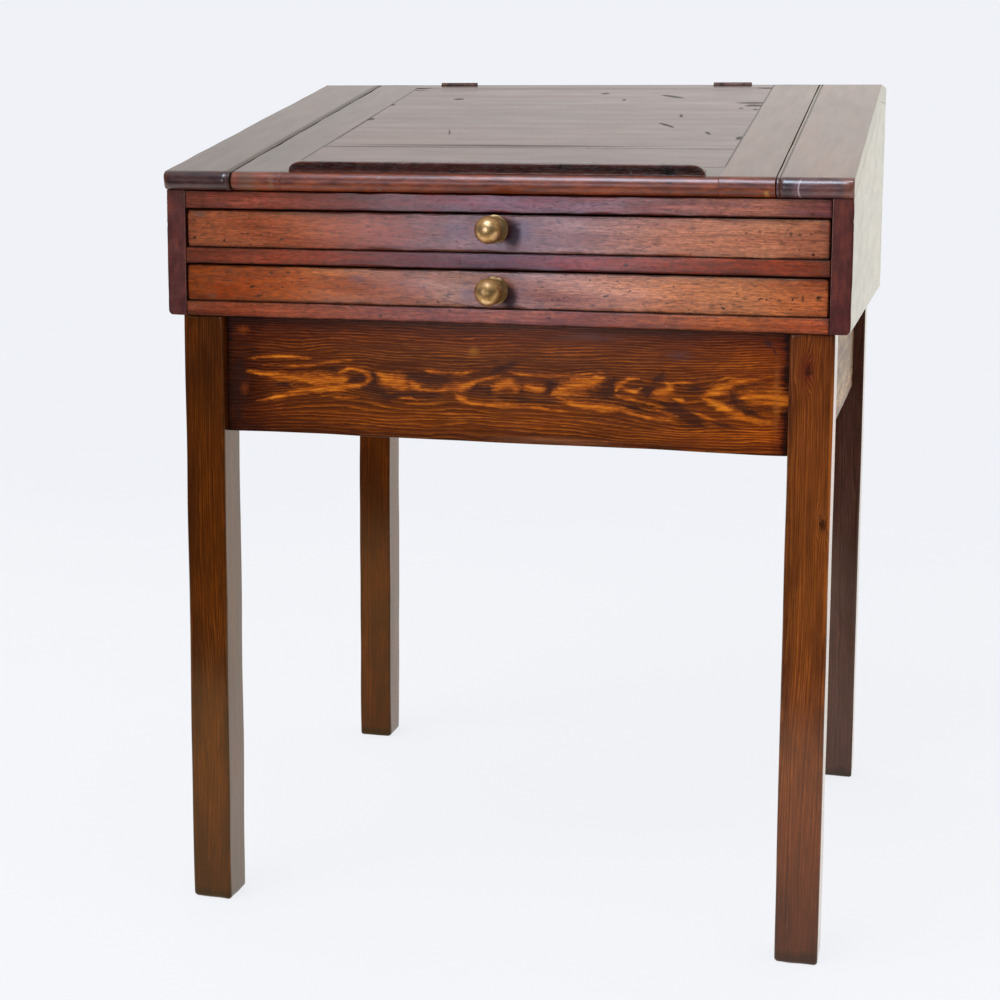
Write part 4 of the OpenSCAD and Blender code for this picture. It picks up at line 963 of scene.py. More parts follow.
def roundNose(points, low, high):
    # in front of the nose's centre line the square section becomes a half disc: each point keeps its
    # direction from the centre and takes the larger of its two half-widths as its distance
    centre, middle, half = desk["noseCentre"], (low + high) / 2, (high - low) / 2
    reach = desk["noseCentre"] - desk["noseOut"]
    a, b = (points[:, 1] - centre) / reach, (points[:, 2] - middle) / half
    larger = np.maximum(np.abs(a), np.abs(b))
    scale = np.where(a < 0, larger / np.maximum(np.hypot(a, b), 1e-9), 1.0)
    points = points.copy()
    points[:, 1] = np.where(a < 0, centre + a * scale * reach, points[:, 1])
    points[:, 2] = np.where(a < 0, middle + b * scale * half, points[:, 2])
    return points


def insetSection(points, amount, middle, half):
    # draws the section in towards its middle line by an amount in mm
    centre, reach = desk["noseCentre"], desk["noseCentre"] - desk["noseOut"]
    points = points.copy()
    points[:, 2] = middle + (points[:, 2] - middle) * (1 - amount / half)
    drawn = centre + (points[:, 1] - centre) * (1 - amount / reach)
    points[:, 1] = np.where(points[:, 1] < centre, drawn, points[:, 1])
    return points


def quirkDepth(x, quirk):
    # how deep the face lies beside the lid: grooves with sloping sides, and a bead whose top is a low arc
    depth = np.zeros(len(x))
    for groove in quirk["grooves"]:
        depth = np.maximum(depth, quirk["deep"] * np.clip(1.6 - np.abs(x - groove) / 0.62, 0.0, 1.0))
    a, b = quirk["bead"]
    half = (b - a) / 2
    roundOff = half - np.sqrt(np.maximum(half ** 2 - (x - (a + b) / 2) ** 2, 0.0))
    return np.maximum(depth, np.where((x >= a) & (x <= b), 0.75 * roundOff, 0.0))


def slopeMember(across, low, seed, run=None, end=None, alongSlope=True, quirk=None, arris=1.4,
                cornerRound=0.0):
    # from one x to another, and from the nose up the slope to a square end, or to a plumb cut at a run; arris
    # is how far the two side edges are rounded, left and right
    x0, x1 = across
    high, centre = desk["boardThick"], desk["noseCentre"]
    back = run / slopeCos if end is None else end
    extra = ()
    if quirk:
        grooves = [np.linspace(q - 0.9, q + 0.9, 9) for q in quirk["grooves"]]
        extra = np.concatenate(grooves + [np.linspace(*quirk["bead"], 9)])
    nose = np.linspace(desk["noseOut"], centre, 9)
    lengthwise = np.unique(np.round(np.concatenate((nose, axisLines(centre, back, 7.0, 3.0))), 4))
    points, faces = boxSkin(
        axisLines(x0, x1, 5.0 if alongSlope else 6.0, 4.0, extra), lengthwise, np.linspace(low, high, 13))
    middle = (low + high) / 2
    edge = arrisCloseness(points, np.array([x0, -1e6, low]), np.array([x1, back, high]), 2.6)
    away = np.minimum(points[:, 0] - x0, x1 - points[:, 0])
    arris = np.where(points[:, 0] < (x0 + x1) / 2, *np.broadcast_to(arris, 2))
    edge = edge * np.where((arris < 0.3) & (away < 8), 0.25, 1.0)
    radius = arris * np.clip(1.0 + 0.5 * ripple(points * [1, 1, 0], 45, seed), 0.4, 2.6)
    inset = radius - np.sqrt(np.maximum(radius ** 2 - np.maximum(radius - away, 0.0) ** 2, 0.0))
    if quirk:
        upper = (points[:, 2] > middle) | (points[:, 1] < centre - 8)
        inset = np.where(upper, np.maximum(inset, quirkDepth(points[:, 0], quirk)), inset)
    points = roundNose(insetSection(points, inset, middle, (high - low) / 2), low, high)
    wearFront = np.exp(-np.maximum(points[:, 1], 0.0) / 9) * np.where(points[:, 2] > middle, 0.35, 0.0)
    points[:, 2] -= wearFront * (0.5 + 0.5 * ripple(points * [1, 0, 0], 40, seed + 1))
    wearNose = np.where(points[:, 1] < centre, 0.25, 0.0)
    points[:, 1] += wearNose * (0.6 + 0.6 * ripple(points * [1, 0, 1], 22, seed + 2))
    if cornerRound:
        # the outer front corner becomes a quarter disc in plan
        outX = np.abs(points[:, 0]) - (max(abs(x0), abs(x1)) - cornerRound)
        ahead = desk["noseOut"] + cornerRound - points[:, 1]
        scale = quarterRound(outX, ahead) - 1.0
        points[:, 0] += np.sign(points[:, 0]) * outX * scale
        points[:, 1] -= ahead * scale
    lengths = (24, 160, 1) if alongSlope else (160, 24, 1)
    sunk = 0.12 * (1 + ripple(points * [1, 1, 0], lengths, seed + 3))
    points[:, 2] -= np.where(points[:, 2] > high - 1.0, sunk, 0.0)
    if end is None:
        blend = np.clip((points[:, 1] - 0.5 * back) / (0.5 * back), 0.0, 1.0)
        points[:, 1] += points[:, 2] * slopeTan * blend
    return toSlope(points), faces, edge


rightTones = ((76, 44, 29), (94, 58, 41), (114, 74, 53))
boards = {
    "top_board_left": {
        "shape": {
            "across": (-380.0, -301.0), "low": 0.0, "run": desk["boardEndRun"], "seed": 51,
            "cornerRound": 5.0, "quirk": {"grooves": (-304.5,), "bead": (-304.0, -301.0), "deep": 1.1}},
        "body": "case",
        "look": {
            "nose": boardNose,
            "marks": (
                # a long dark matt mark along the gap beside the lid: painted shade in the gap
                mark((280, -302.4), (900, 3.6), (62, 42, 34), depth=0.7, crisp=1.6, ragged=0.2, matt=0.62),
                mark((-4, -378), (10, 7), (92, 50, 30), depth=0.7, ragged=0.4),
                # a pale streak on the nose beside the gap: a painted highlight
                mark((-5, -305), (8, 1.6), (120, 96, 92), depth=0.4, ragged=0.3))}},
    "top_board_right": {
        "shape": {
            "across": (300.5, 380.0), "low": 0.0, "run": desk["boardEndRun"], "seed": 53, "cornerRound": 5.0,
            "quirk": {"grooves": (304.2,), "bead": (300.5, 303.7), "deep": 1.1}},
        "body": "case",
        "look": {
            "tones": rightTones, "nose": dict(boardNose, tones=((62, 36, 42), (88, 56, 62), (128, 90, 94))),
            "marks": (
                # a long dark matt mark along the groove: painted shade in the groove
                mark((270, 304.3), (900, 1.2), (40, 28, 24), depth=0.8, crisp=3, matt=0.7),
                mark((-7, 312), (10, 10), (40, 26, 30), depth=0.75, ragged=0.4),
                mark((-7, 350), (10, 24), (112, 62, 50), depth=0.6, ragged=0.6),
                mark((0, 346), (3.4, 26), (46, 34, 40), depth=0.6, ragged=0.6),
                mark((-6, 324), (8, 1.2), (176, 156, 162), depth=0.8, ragged=0.25, turn=24),
                mark((-4, 374), (9, 12), (132, 76, 56), depth=0.8, ragged=0.5),
                mark((-6, 305), (8, 3), (92, 56, 44), depth=0.7, ragged=0.4))}},
    "lid_stile_left": {
        "shape": {
            "across": (-299.0, -241.0), "low": 0.3, "run": desk["lidEndRun"], "seed": 55,
            "arris": (1.5, 0.12)},
        "body": "lid",
        "look": {"marks": (
            # a long dark matt mark along the gap beside the board: painted shade in the gap
            mark((280, -299), (900, 3.0), (66, 44, 36), depth=0.6, crisp=1.6, ragged=0.2, matt=0.5),
            mark((-5, -280), (9, 18), (104, 68, 42), depth=0.7, ragged=0.5),
            mark((-6, -252), (7, 6), (130, 84, 44), depth=0.5, ragged=0.5))}},
    "lid_stile_right": {
        "shape": {
            "across": (241.0, 299.7), "low": 0.3, "run": desk["lidEndRun"], "seed": 57, "arris": (0.12, 0.6)},
        "body": "lid",
        "look": {
            "tones": rightTones,
            "marks": (
                mark((280, 241.5), (900, 1.6), (38, 22, 17), depth=0.85, crisp=4, ragged=0.3, matt=0.85,
                     only=(0, 42, 46)),
                mark((-6, 291), (9, 5), (186, 124, 40), depth=0.7, ragged=0.6,
                     only=(2, slopeShift * 57 + 11, slopeShift * 57 + 7)),
                mark((-6, 262), (9, 16), (84, 34, 14), depth=0.5, ragged=0.6))}},
    "lid_front_rail": {
        "shape": {
            "across": (-240.9, 240.9), "low": 0.3, "seed": 61, "end": 43.36, "arris": 0.12,
            "alongSlope": False},
        "body": "lid",
        "look": {
            "nose": dict(slopeLook["nose"], axis=1),
            "marks": (
                mark((-127.5, -5), (2.4, 1.2), (120, 130, 110), depth=0.5, crisp=2, turn=20),
                mark((60, -4), (3, 1.2), (60, 26, 14), depth=0.6, crisp=2),
                mark((190, -6), (4, 1.0), (50, 22, 14), depth=0.6, crisp=2))}}}
for name, board in boards.items():
    shape = board["shape"]
    makePiece(name, [slopeMember(**shape)], board["body"],
              mahogany(name + "_polish", dict(slopeLook, **board["look"])),
              slopeGrain(shape["seed"], shape.get("alongSlope", True)))

panelLook = dict(
    slopeLook, nose=None, marksDull=0.3, tones=((62, 30, 26), (78, 42, 36), (96, 58, 48)),
    rough=(0.235, 0.275), wave=0.4, mottle=0.14,
    marks=(
        mark((228, 45), (26, 2.4), (96, 32, 20), depth=0.95, crisp=3, ragged=0.2, matt=0.95),
        mark((-239, 250), (2.2, 160), (50, 30, 24), depth=0.5, crisp=1.2, ragged=0.4, matt=0.4),
        mark((28, 480), (8, 9), (30, 18, 14), depth=0.7, ragged=0.3),
        mark((61, 436), (3, 12), (44, 26, 20), depth=0.3, ragged=0.3),
        mark((120, 459), (22, 5), (16, 10, 9), crisp=4, turn=-36, cut=1.5),
        mark((141, 274), (17, 3.6), (18, 11, 10), crisp=4, turn=-50, cut=1.5),
        mark((150, 262), (6, 3), (24, 14, 12), crisp=3, turn=-60),
        mark((228, 415), (27, 8), (30, 18, 14), crisp=3, ragged=0.3, cut=0.8),
        mark((232, 397), (20, 13), (22, 13, 11), crisp=3, ragged=0.6, cut=1.0),
        mark((218, 379), (5, 8), (30, 18, 14), depth=0.6, ragged=0.6),
        mark((236, 372), (6, 8), (30, 18, 14), depth=0.6, ragged=0.6),
        mark((198, 226), (4, 14), (30, 18, 14), ragged=0.3, turn=20),
        mark((238, 199), (5, 11), (18, 11, 9), crisp=3),
        mark((-160, 440), (11, 9), (30, 18, 14), crisp=3, ragged=0.4),
        mark((-237, 303), (6, 8), (22, 13, 11), crisp=3),
        mark((-238, 400), (4, 8), (34, 20, 16), ragged=0.2),
        mark((-232, 505), (14, 5), (34, 20, 16), ragged=0.3),
        mark((-112, 224), (2, 22), (44, 26, 20), depth=0.35, ragged=0.3, turn=16),
        mark((151, 330), (3, 14), (40, 24, 18), depth=0.6, ragged=0.2, turn=10),
        mark((-30, 149), (210, 7), (44, 24, 20), depth=0.5, crisp=1.4)))
panels = {
    "lid_panel_front": {"start": 43.66, "end": 139.3, "seed": 63},
    "lid_panel_rear": {"start": 139.5, "end": 519.77, "seed": 65}}
panelShape = {
    "half": 240.7, "low": 9.6, "high": 21.6, "tongueHalf": 245.0, "tongueLow": 12.5, "tongueHigh": 18.0,
    "crispFrom": 514,        # from here to the back the edges stay sharp
    "riseFrom": 500, "riseLength": 19.77, "riseHalf": 229, "riseFade": 12, "riseTop": 21.97,
}


def panelPiece(name, panel):
    # a flat box with a wavy top, and a thin tongue round it that the lid's frame takes
    shape, seed = panelShape, panel["seed"]
    low = np.array([-shape["half"], panel["start"], shape["low"]])
    high = np.array([shape["half"], panel["end"], shape["high"]])
    points, faces = latticeBox(low, high, (6.0, 5.0, 3.0), (3.0, 3.0, 2.4))
    atBack = points[:, 1] > shape["crispFrom"]
    edge = np.where(atBack, 0.0, arrisCloseness(points, low, high, 2.2))
    radius = np.clip(0.7 * (1 + 0.4 * ripple(points, 40, seed)), 0.3, 1.6)
    points = softenBox(points, low, high, radius * np.where(atBack, 0.1, 1.0))
    top = points[:, 2] > 20
    points[:, 2] -= np.where(top, 0.16 * (1 + ripple(points * [1, 1, 0], (190, 26, 1), seed + 1)), 0.0)
    # towards the back the panel comes up flush with the rail behind it, apart from its corners
    rising = np.clip((points[:, 1] - shape["riseFrom"]) / shape["riseLength"], 0, 1) ** 2
    flush = rising * np.clip((shape["riseHalf"] - np.abs(points[:, 0])) / shape["riseFade"], 0, 1)
    points[:, 2] += np.where(top, flush * (shape["riseTop"] - points[:, 2]), 0.0)
    # the tongue reaches past the panel, but not where the two boards meet
    before, behind = (-4.5, -1) if name.endswith("front") else (1, 4.0)
    tongueLow = np.array([-shape["tongueHalf"], panel["start"] + before, shape["tongueLow"]])
    tongueHigh = np.array([shape["tongueHalf"], panel["end"] + behind, shape["tongueHigh"]])
    tongue, tongueFaces = latticeBox(tongueLow, tongueHigh, (60.0, 40.0, 3.0), (2, 2, 1))
    shells = [(toSlope(points), faces, edge), (toSlope(tongue), tongueFaces, np.zeros(len(tongue)))]
    look = dict(panelLook, marksAbove=18 + slopeShift * seed)
    makePiece(name, shells, "lid", mahogany(name + "_polish", look),
              slopeGrain(seed, False))


for name, panel in panels.items():
    panelPiece(name, panel)
print("slope made")


# Book rest: a thin strip on the lid with rounded ends

restShape = {
    "x": (-234.0, 226.0), "u": (4.36, 13.36), "w": (21.9, 33.0), "endLength": 16.0, "topRound": 1.0,
    "seed": 71, "grainSeed": 65}
restTop = slopeShift * restShape["grainSeed"] + 27     # where its upper half starts, in grain coordinates
restLook = {
    # the book rest's light edge tone is a painted highlight along its top arris
    "tones": ((22, 7, 5), (36, 12, 7), (66, 26, 12)), "rough": (0.2, 0.26), "specular": 0.46, "edge": 0.45,
    "edgeTone": (150, 84, 70), "pores": 0.3, "patch": 0.2,
    "zones": (
        (-234, (200, 140, 110)), (-180, (230, 160, 120)), (-110, (190, 140, 124)), (-40, (160, 128, 116)),
        (150, (140, 120, 110)), (204, (128, 126, 112)), (226, (150, 160, 140))),
    # two pale marks on the upper half are painted highlights, small glints
    "marks": (
        mark((148, 10), (5, 14), (160, 140, 150), depth=0.4, ragged=0.7, only=(2, restTop, restTop - 3)),
        mark((178, 12), (6, 12), (150, 130, 130), depth=0.4, ragged=0.7, only=(2, restTop, restTop - 3)))}


def restStrip():
    # a strip whose height follows a quarter ellipse at each end and whose top is rounded across
    (x0, x1), (u0, u1), (w0, w1) = restShape["x"], restShape["u"], restShape["w"]
    endLength = restShape["endLength"]
    ends = endLength * (1 - np.cos(np.linspace(0.0, math.pi / 2, 14)))
    xs = np.concatenate((x0 + ends, np.linspace(x0 + endLength, x1 - endLength, 86)[1:-1], (x1 - ends)[::-1]))
    points, faces = boxSkin(xs, axisLines(u0, u1, 1.5, 3.0), axisLines(w0, w1, 2.0, 3.5))
    edge = arrisCloseness(points, np.array([x0, u0, w0]), np.array([x1, u1, w1]), 2.0)
    x = points[:, 0].copy()
    worn = 1 + 0.25 * ripple(points * [1, 0, 0], 50, restShape["seed"])
    radius = np.clip(restShape["topRound"] * worn, 0.8, 3.0)
    points[:, 0] = 0.0
    points = softenBox(points, np.array([-1e6, u0, w0 - 40]), np.array([1e6, u1, w1]), radius)
    points[:, 0] = x
    away = np.minimum(x - x0, x1 - x)
    fall = np.sqrt(np.clip(1 - (1 - np.clip(away / endLength, 0, 1)) ** 2, 0.0, 1.0))
    points[:, 2] = w0 + (points[:, 2] - w0) * (0.10 + 0.90 * fall)
    knocks = (((-101, u0, w1), (3.5, 6, 4), (0, 0, -0.9)), ((60, u0, w1), (9, 6, 3), (0, 0, -0.35)))
    points = dent(points, knocks)
    return toSlope(points), faces, edge


makePiece("book_rest", [restStrip()], "lid", mahogany("book_rest_wood", restLook),
          slopeGrain(restShape["grainSeed"], False))


# Drawers: fronts with lapped corners, and pins between the tails of the drawer sides

drawerShape = {
    "half": 356.5, "inner": 347.5, "thick": 20.0, "lap": 6.0, "arris": 2.0, "tailRoot": 0.56,
    "tailSlope": 0.16}
drawerLook = {
    "glossZones": frontGloss, "tones": ((124, 58, 38), (148, 80, 54), (170, 102, 72)), "rough": (0.2, 0.29),
    "specular": 0.5, "pores": 0.5, "edge": 0.75, "edgeTone": (58, 26, 18), "patch": 0.2,
    "patchTone": (84, 40, 28), "bloom": 0.12, "bloomTone": (118, 74, 76), "mottle": 0.38, "specks": 1.0,
    "bump": 0.12, "wave": 0.4, "broad": 0.75, "rim": 0.85, "fibre": 0.22, "zoneWander": 0.12,
    "body": desk["caseFront"]}
# the zones of each drawer hold its own tone along the front and a painted bluish sheen, a window's reflection
drawers = {
    "upper_drawer": {
        "z": (77.3, 118.4), "seed": 81,
        "zones": (
            (-357, (151, 125, 115)), (-320, (174, 143, 122)), (-230, (185, 148, 125)),
            (-160, (172, 132, 127)), (-110, (162, 128, 134)), (-60, (141, 136, 163)), (40, (146, 162, 198)),
            (120, (188, 213, 251)), (200, (239, 255, 255)), (300, (235, 255, 255)), (344, (215, 225, 227)),
            (357, (177, 175, 192))),
        "worn": 1.3, "corner": (5.5, 2.6),
        "marks": (
            mark((31, 790), (16, 18), (72, 62, 84), depth=0.6, crisp=2, ragged=0.5),
            # the dark mark right of the knob is a painted shadow of the knob, on grime from hands
            mark((20, 786), (14, 23), (30, 16, 24), depth=0.9, crisp=2.2, ragged=0.25, matt=0.8),
            mark((-42, 790), (26, 18), (84, 68, 86), depth=0.5, crisp=1.6, ragged=0.5),
            mark((0, 772), (60, 5), (110, 60, 44), depth=0.5, ragged=0.4),
            mark((-200, 805), (150, 3.5), (70, 34, 26), depth=0.5, ragged=0.4),
            mark((-341, 803), (12, 4), (84, 72, 74), depth=0.5, ragged=0.3),
            mark((-282, 799), (2.6, 1.8), (84, 36, 26), depth=0.6, crisp=3),
            mark((-325, 790), (4, 3), (78, 42, 30), depth=0.6, ragged=0.4),
            mark((-258, 783), (3, 4), (78, 42, 30), depth=0.6, ragged=0.4),
            mark((-232, 768), (14, 3), (60, 44, 40), depth=0.6, ragged=0.4),
            mark((270, 792), (2.2, 1.8), (70, 34, 26), depth=0.6, crisp=3),
            mark((284, 794), (2.2, 2.4), (92, 44, 34), depth=0.6, crisp=3),
            mark((260, 785), (1.8, 1.4), (80, 40, 30), depth=0.6, crisp=3),
            mark((316, 792), (2.0, 3.4), (60, 28, 22), depth=0.6, crisp=3),
            mark((349, 800), (8, 6), (112, 56, 52), depth=0.7, ragged=0.4),
            mark((353, 766.5), (7, 2.6), (20, 12, 10), depth=0.6, crisp=4),
            mark((325.4, 791.5), (3, 2.2), (34, 16, 12), depth=0.6, crisp=3))},
    "lower_drawer": {
        "z": (17.3, 57.4), "seed": 85,
        "zones": (
            (-357, (185, 147, 40)), (-330, (204, 155, 34)), (-230, (225, 186, 68)), (-170, (224, 216, 155)),
            (-110, (221, 239, 235)), (-50, (201, 243, 255)), (40, (193, 221, 255)), (110, (206, 222, 234)),
            (200, (214, 205, 168)), (290, (206, 196, 156)), (357, (205, 173, 124))),
        "worn": 0.4, "corner": (2.5, 2.0),
        "marks": (
            mark((-30, 722), (18, 20), (84, 68, 88), depth=0.5, crisp=1.6, ragged=0.5),
            # the dark mark right of the knob is a painted shadow of the knob, on grime from hands
            mark((17, 719), (14, 21), (30, 16, 22), depth=0.9, crisp=2.2, ragged=0.25, matt=0.8),
            mark((30, 728), (16, 20), (110, 76, 86), depth=0.4, crisp=1.6, ragged=0.5),
            mark((-200, 708), (120, 3), (78, 40, 26), depth=0.5, ragged=0.4),
            mark((-326, 712), (10, 5), (96, 72, 64), depth=0.4, ragged=0.4),
            mark((206, 727), (2, 1.6), (110, 62, 44), depth=0.6, crisp=3),
            mark((212, 711), (1.8, 1.4), (70, 36, 26), depth=0.6, crisp=3),
            mark((262, 730), (1.6, 1.4), (90, 46, 30), depth=0.6, crisp=3),
            mark((306, 723), (3, 1.8), (80, 40, 26), depth=0.6, crisp=3),
            mark((318, 714), (1.6, 1.6), (70, 36, 26), depth=0.6, crisp=3),
            mark((-155.5, 735), (18, 9), (86, 58, 70), depth=0.6, crisp=1.4, ragged=0.6),
            mark((-66.3, 742), (5, 2), (200, 130, 110), depth=0.5, ragged=0.3),
            mark((346.6, 727), (3, 2.5), (28, 14, 12), depth=0.6, crisp=3),
            mark((330, 726), (1.6, 5), (40, 20, 16), depth=0.6, crisp=3))}}


def drawerFront(name, drawer):
    # a slab whose front edges are rounded by a wandering radius, a plain block behind it and the pins
    shape, seed = drawerShape, drawer["seed"]
    z0, z1 = drawer["z"]
    middle, halfHigh = (z0 + z1) / 2, (z1 - z0) / 2
    front, back = desk["caseFront"], desk["caseFront"] + shape["thick"]
    lap = front + shape["lap"]
    low, high = np.array([-shape["half"], front, z0]), np.array([shape["half"], lap, z1])
    points, faces = latticeBox(low, high, (5.0, 1.5, 3.0), (5, 2.4, 5))
    edge = arrisCloseness(points, low, high, 3.6)
    fromEnd, fromTop = shape["half"] - np.abs(points[:, 0]), np.minimum(points[:, 2] - z0, z1 - points[:, 2])
    corner = np.exp(-np.hypot(fromEnd, fromTop) / 5)
    radius = shape["arris"] * (1 + 0.45 * ripple(points * [1, 0, 1], (26, 1, 26), seed) + 0.5 * corner)
    radius = np.where(points[:, 1] < front + 3.2, np.clip(radius, 0.8, 2.9), 0.2)
    points = softenBox(points, low, high, radius)
    # the slab's corners are rounded in the front elevation, more at the left, where it is also worn back
    corner = np.where(points[:, 0] < 0, *drawer["corner"])
    dx = np.abs(points[:, 0]) - (shape["half"] - corner)
    dz = np.abs(points[:, 2] - middle) - (halfHigh - corner)
    scale = quarterRound(dx, dz) - 1.0
    points[:, 0] += np.sign(points[:, 0]) * dx * scale
    points[:, 2] += np.sign(points[:, 2] - middle) * dz * scale
    points[:, 0] += drawer["worn"] * np.exp(-(points[:, 0] + shape["half"]) / 4)
    near = np.exp(-(points[:, 1] - front) / 2.5)
    points[:, 2] -= near * 0.2 * ripple(points * [1, 0, 0], 22, seed + 1) * np.sign(points[:, 2] - middle)
    points[:, 1] += near * 0.22 * (1 + ripple(points * [1, 0, 1], (70, 1, 22), seed + 2))
    shells = [(points, faces, edge)]
    low, high = np.array([-shape["inner"], lap - 0.4, z0]), np.array([shape["inner"], back, z1])
    block, blockFaces = latticeBox(low, high, (30, 4, 8), (3, 2, 3))
    shells.append((softenBox(block, low, high, 0.25), blockFaces, 0.5 * arrisCloseness(block, low, high, 2)))
    shells += pins(name, z0, z1, lap, back)
    shells = [(p + [0, 0, desk["caseUnder"]], f, e) for p, f, e in shells]
    look = dict(drawerLook, zones=drawer["zones"], marks=drawer["marks"])
    makePiece(name + "_front", shells, name, mahogany(name + "_wood", look),
              lambda p: p[:, (0, 2, 1)])


def pins(name, z0, z1, lap, back):
    # the wood at both ends of the front, above, between and below the two dovetails of the drawer's side
    shape = drawerShape
    sideLow, sideHigh = (corner.z / mm - desk["caseUnder"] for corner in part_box(name + "_left_side"))
    pitch = (sideHigh - sideLow) / 2
    y = np.linspace(lap - 0.4, back, 6)
    # half a dovetail: half its root at the back, wider by its slope towards the lap
    halfTail = pitch * shape["tailRoot"] / 2 + (back - y) * shape["tailSlope"]
    first, second = sideLow + pitch / 2, sideLow + 1.5 * pitch
    edges = ((z0 + 0 * y, first - halfTail - 0.1), (first + halfTail + 0.1, second - halfTail - 0.1),
             (second + halfTail + 0.1, z1 + 0 * y))
    for sign in (-1, 1):
        for below, above in edges:
            pin, faces = boxSkin(
                np.linspace(shape["inner"] - 0.6, shape["half"] - 0.05, 4), y, np.linspace(0.0, 1.0, 5))
            lowEdge, highEdge = np.interp(pin[:, 1], y, below), np.interp(pin[:, 1], y, above)
            pin[:, 2] = lowEdge + pin[:, 2] * (highEdge - lowEdge)
            pin[:, 0] *= sign
            yield pin, faces[:, ::sign], np.zeros(len(pin))


for name, drawer in drawers.items():
    drawerFront(name, drawer)
print("drawers made")


# Knobs: turned brass balls, a profile carried round an axis that points to the front

knobShape = {
    "reach": 40.2, "ball": 14.9, "base": 15.5, "rim": 1.8, "neck": 6.0, "cove": 7.0, "stem": 4.0,
    "inner": 20.5,           # how far its stem reaches into the drawer front
    "bead": 12.5,            # radius of a faint ring on the cove
    "sides": 96,
}
brassLook = {
    "tones": ((232, 196, 148), (186, 146, 94), (108, 78, 44)), "rough": (0.36, 0.5), "metallic": 0.92,
    "darkBehind": (-0.3275, -0.3225)}
knobBrass = agedBrass("knob_brass_aged", brassLook)


def knobProfile():
    # radius and reach along the axis: stem, round base with a rolled rim, hollow cove, neck, ball
    reach, ball, base, rim, neck, cove, stem, inner, bead = (
        knobShape[key] for key in ("reach", "ball", "base", "rim", "neck", "cove", "stem", "inner", "bead"))
    stemLine = [[stem, -inner], [stem, 0.5 - inner], [stem, -2.0], [stem, 0.02], [base - 0.6, 0.02]]
    t = np.linspace(-math.pi / 2, math.pi / 2, 9)
    rimLine = np.stack((base - 0.9 + 0.9 * np.cos(t), rim / 2 + rim / 2 * np.sin(t)), axis=1)
    t = np.linspace(0.0, math.pi / 2, 15)[1:]
    coveLine = np.stack((neck + cove * (1 - np.sin(t)), rim + cove * (1 - np.cos(t))), axis=1)
    coveLine[:, 1] += 0.25 * np.exp(-((coveLine[:, 0] - bead) / 0.7) ** 2)
    t = np.linspace(-math.acos(neck / ball), math.pi / 2, 40)[:-1]
    ballLine = np.stack((ball * np.cos(t), reach - ball + ball * np.sin(t)), axis=1)
    ballLine[:, 1] -= 0.25 * np.clip(ballLine[:, 1] - (reach - 1.0), 0, 1)
    return np.concatenate((stemLine, rimLine, coveLine, ballLine))


def knobPiece(name, height, seed):
    # every point of the profile goes round the axis at its radius, and one point closes each end
    profile, sides = knobProfile(), knobShape["sides"]
    angle = np.linspace(0.0, 2 * math.pi, sides, endpoint=False)
    radius, reach = profile[:, 0][:, None], profile[:, 1][:, None]
    rings = np.stack((radius * np.cos(angle), -reach + 0 * angle, radius * np.sin(angle)), axis=-1)
    rings = rings.reshape(-1, 3)
    points = np.concatenate((rings, [[0, knobShape["inner"], 0], [0, -knobShape["reach"] + 0.25, 0]]))
    # upside is where the knob's top is painted browner, a painted shade
    upside = np.clip((points[:, 2] - 3.0) / 7.0, 0, 1) * (points[:, 1] < -10)
    points[:, 0] += 0.12 * ripple(points, 14, seed)
    points[:, 2] += 0.12 * ripple(points, 14, seed + 1)
    points += [0.0, desk["caseFront"] + 0.25, desk["caseUnder"] + height]
    row, column = np.arange(len(profile) - 1)[:, None] * sides, np.arange(sides)
    after = (column + 1) % sides
    quads = np.stack((row + column, row + sides + column, row + sides + after, row + after), axis=-1)
    last, first, tip = (len(profile) - 1) * sides, len(rings), len(rings) + 1
    starts = np.stack((np.full(sides, first), column, after), axis=1)
    ends = np.stack((last + after, last + column, np.full(sides, tip)), axis=1)
    faces = quads.reshape(-1, 4).tolist() + starts.tolist() + ends.tolist()
    mesh = bpy.data.meshes.new(name + "_piece")
    mesh.from_pydata((points * mm).tolist(), [], faces)
    addField(mesh, "upside", upside)
    settle(mesh, name.replace("_knob", "_drawer"), name, knobBrass)


knobPiece("upper_knob", 103.0, 91)
knobPiece("lower_knob", 37.0, 93)
print("knobs made")


# The solids that keep their own shape get their materials

hiddenLook = {"tones": ((140, 104, 64), (128, 90, 54), (106, 70, 42)), "age": (88, 62, 42)}
drawerPineLook = {"tones": ((164, 126, 80), (146, 106, 64), (112, 74, 42)), "age": (104, 76, 50)}
shelfLook = dict(slopeLook, edge=0.0, nose=None)
hingeLook = {"tones": ((104, 66, 48), (76, 46, 38), (44, 27, 24)), "rough": (0.4, 0.6), "metallic": 0.45}
keptPieces = (
    (plainPine("hidden_pine_x", hiddenLook, "x"),
     "corner_blocks back_board_lower bottom_board drawer_stops well_floor hinge_rail"),
    (plainPine("hidden_pine_back", dict(hiddenLook, age=(98, 66, 40)), "x", 2.3), "back_board_upper"),
    (plainPine("hidden_pine_y", hiddenLook, "y"), "runner_left runner_right bearer_left bearer_right"),
    (plainPine("drawer_pine_x", drawerPineLook, "x"),
     "upper_drawer_back upper_drawer_bottom lower_drawer_back lower_drawer_bottom"),
    (plainPine("drawer_pine_y", drawerPineLook, "y"),
     "upper_drawer_left_side upper_drawer_right_side lower_drawer_left_side lower_drawer_right_side"),
    (mahogany("shelf_polish", shelfLook, "x"), "rear_shelf lid_back_rail"),
    (agedBrass("hinge_brass_dull", hingeLook),
     "hinge_leaf_case_left hinge_leaf_case_right hinge_leaf_lid_left hinge_leaf_lid_right "
     "hinge_pin_left hinge_pin_right hinge_screws_case hinge_screws_lid upper_knob_nut lower_knob_nut"))
for material, names in keptPieces:
    for name in names.split():
        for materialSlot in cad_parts[name].material_slots:
            materialSlot.material = material
print("kept solids painted")


# Studio: pale floor, even sky and sun, a soft box to the left of the camera and one overhead

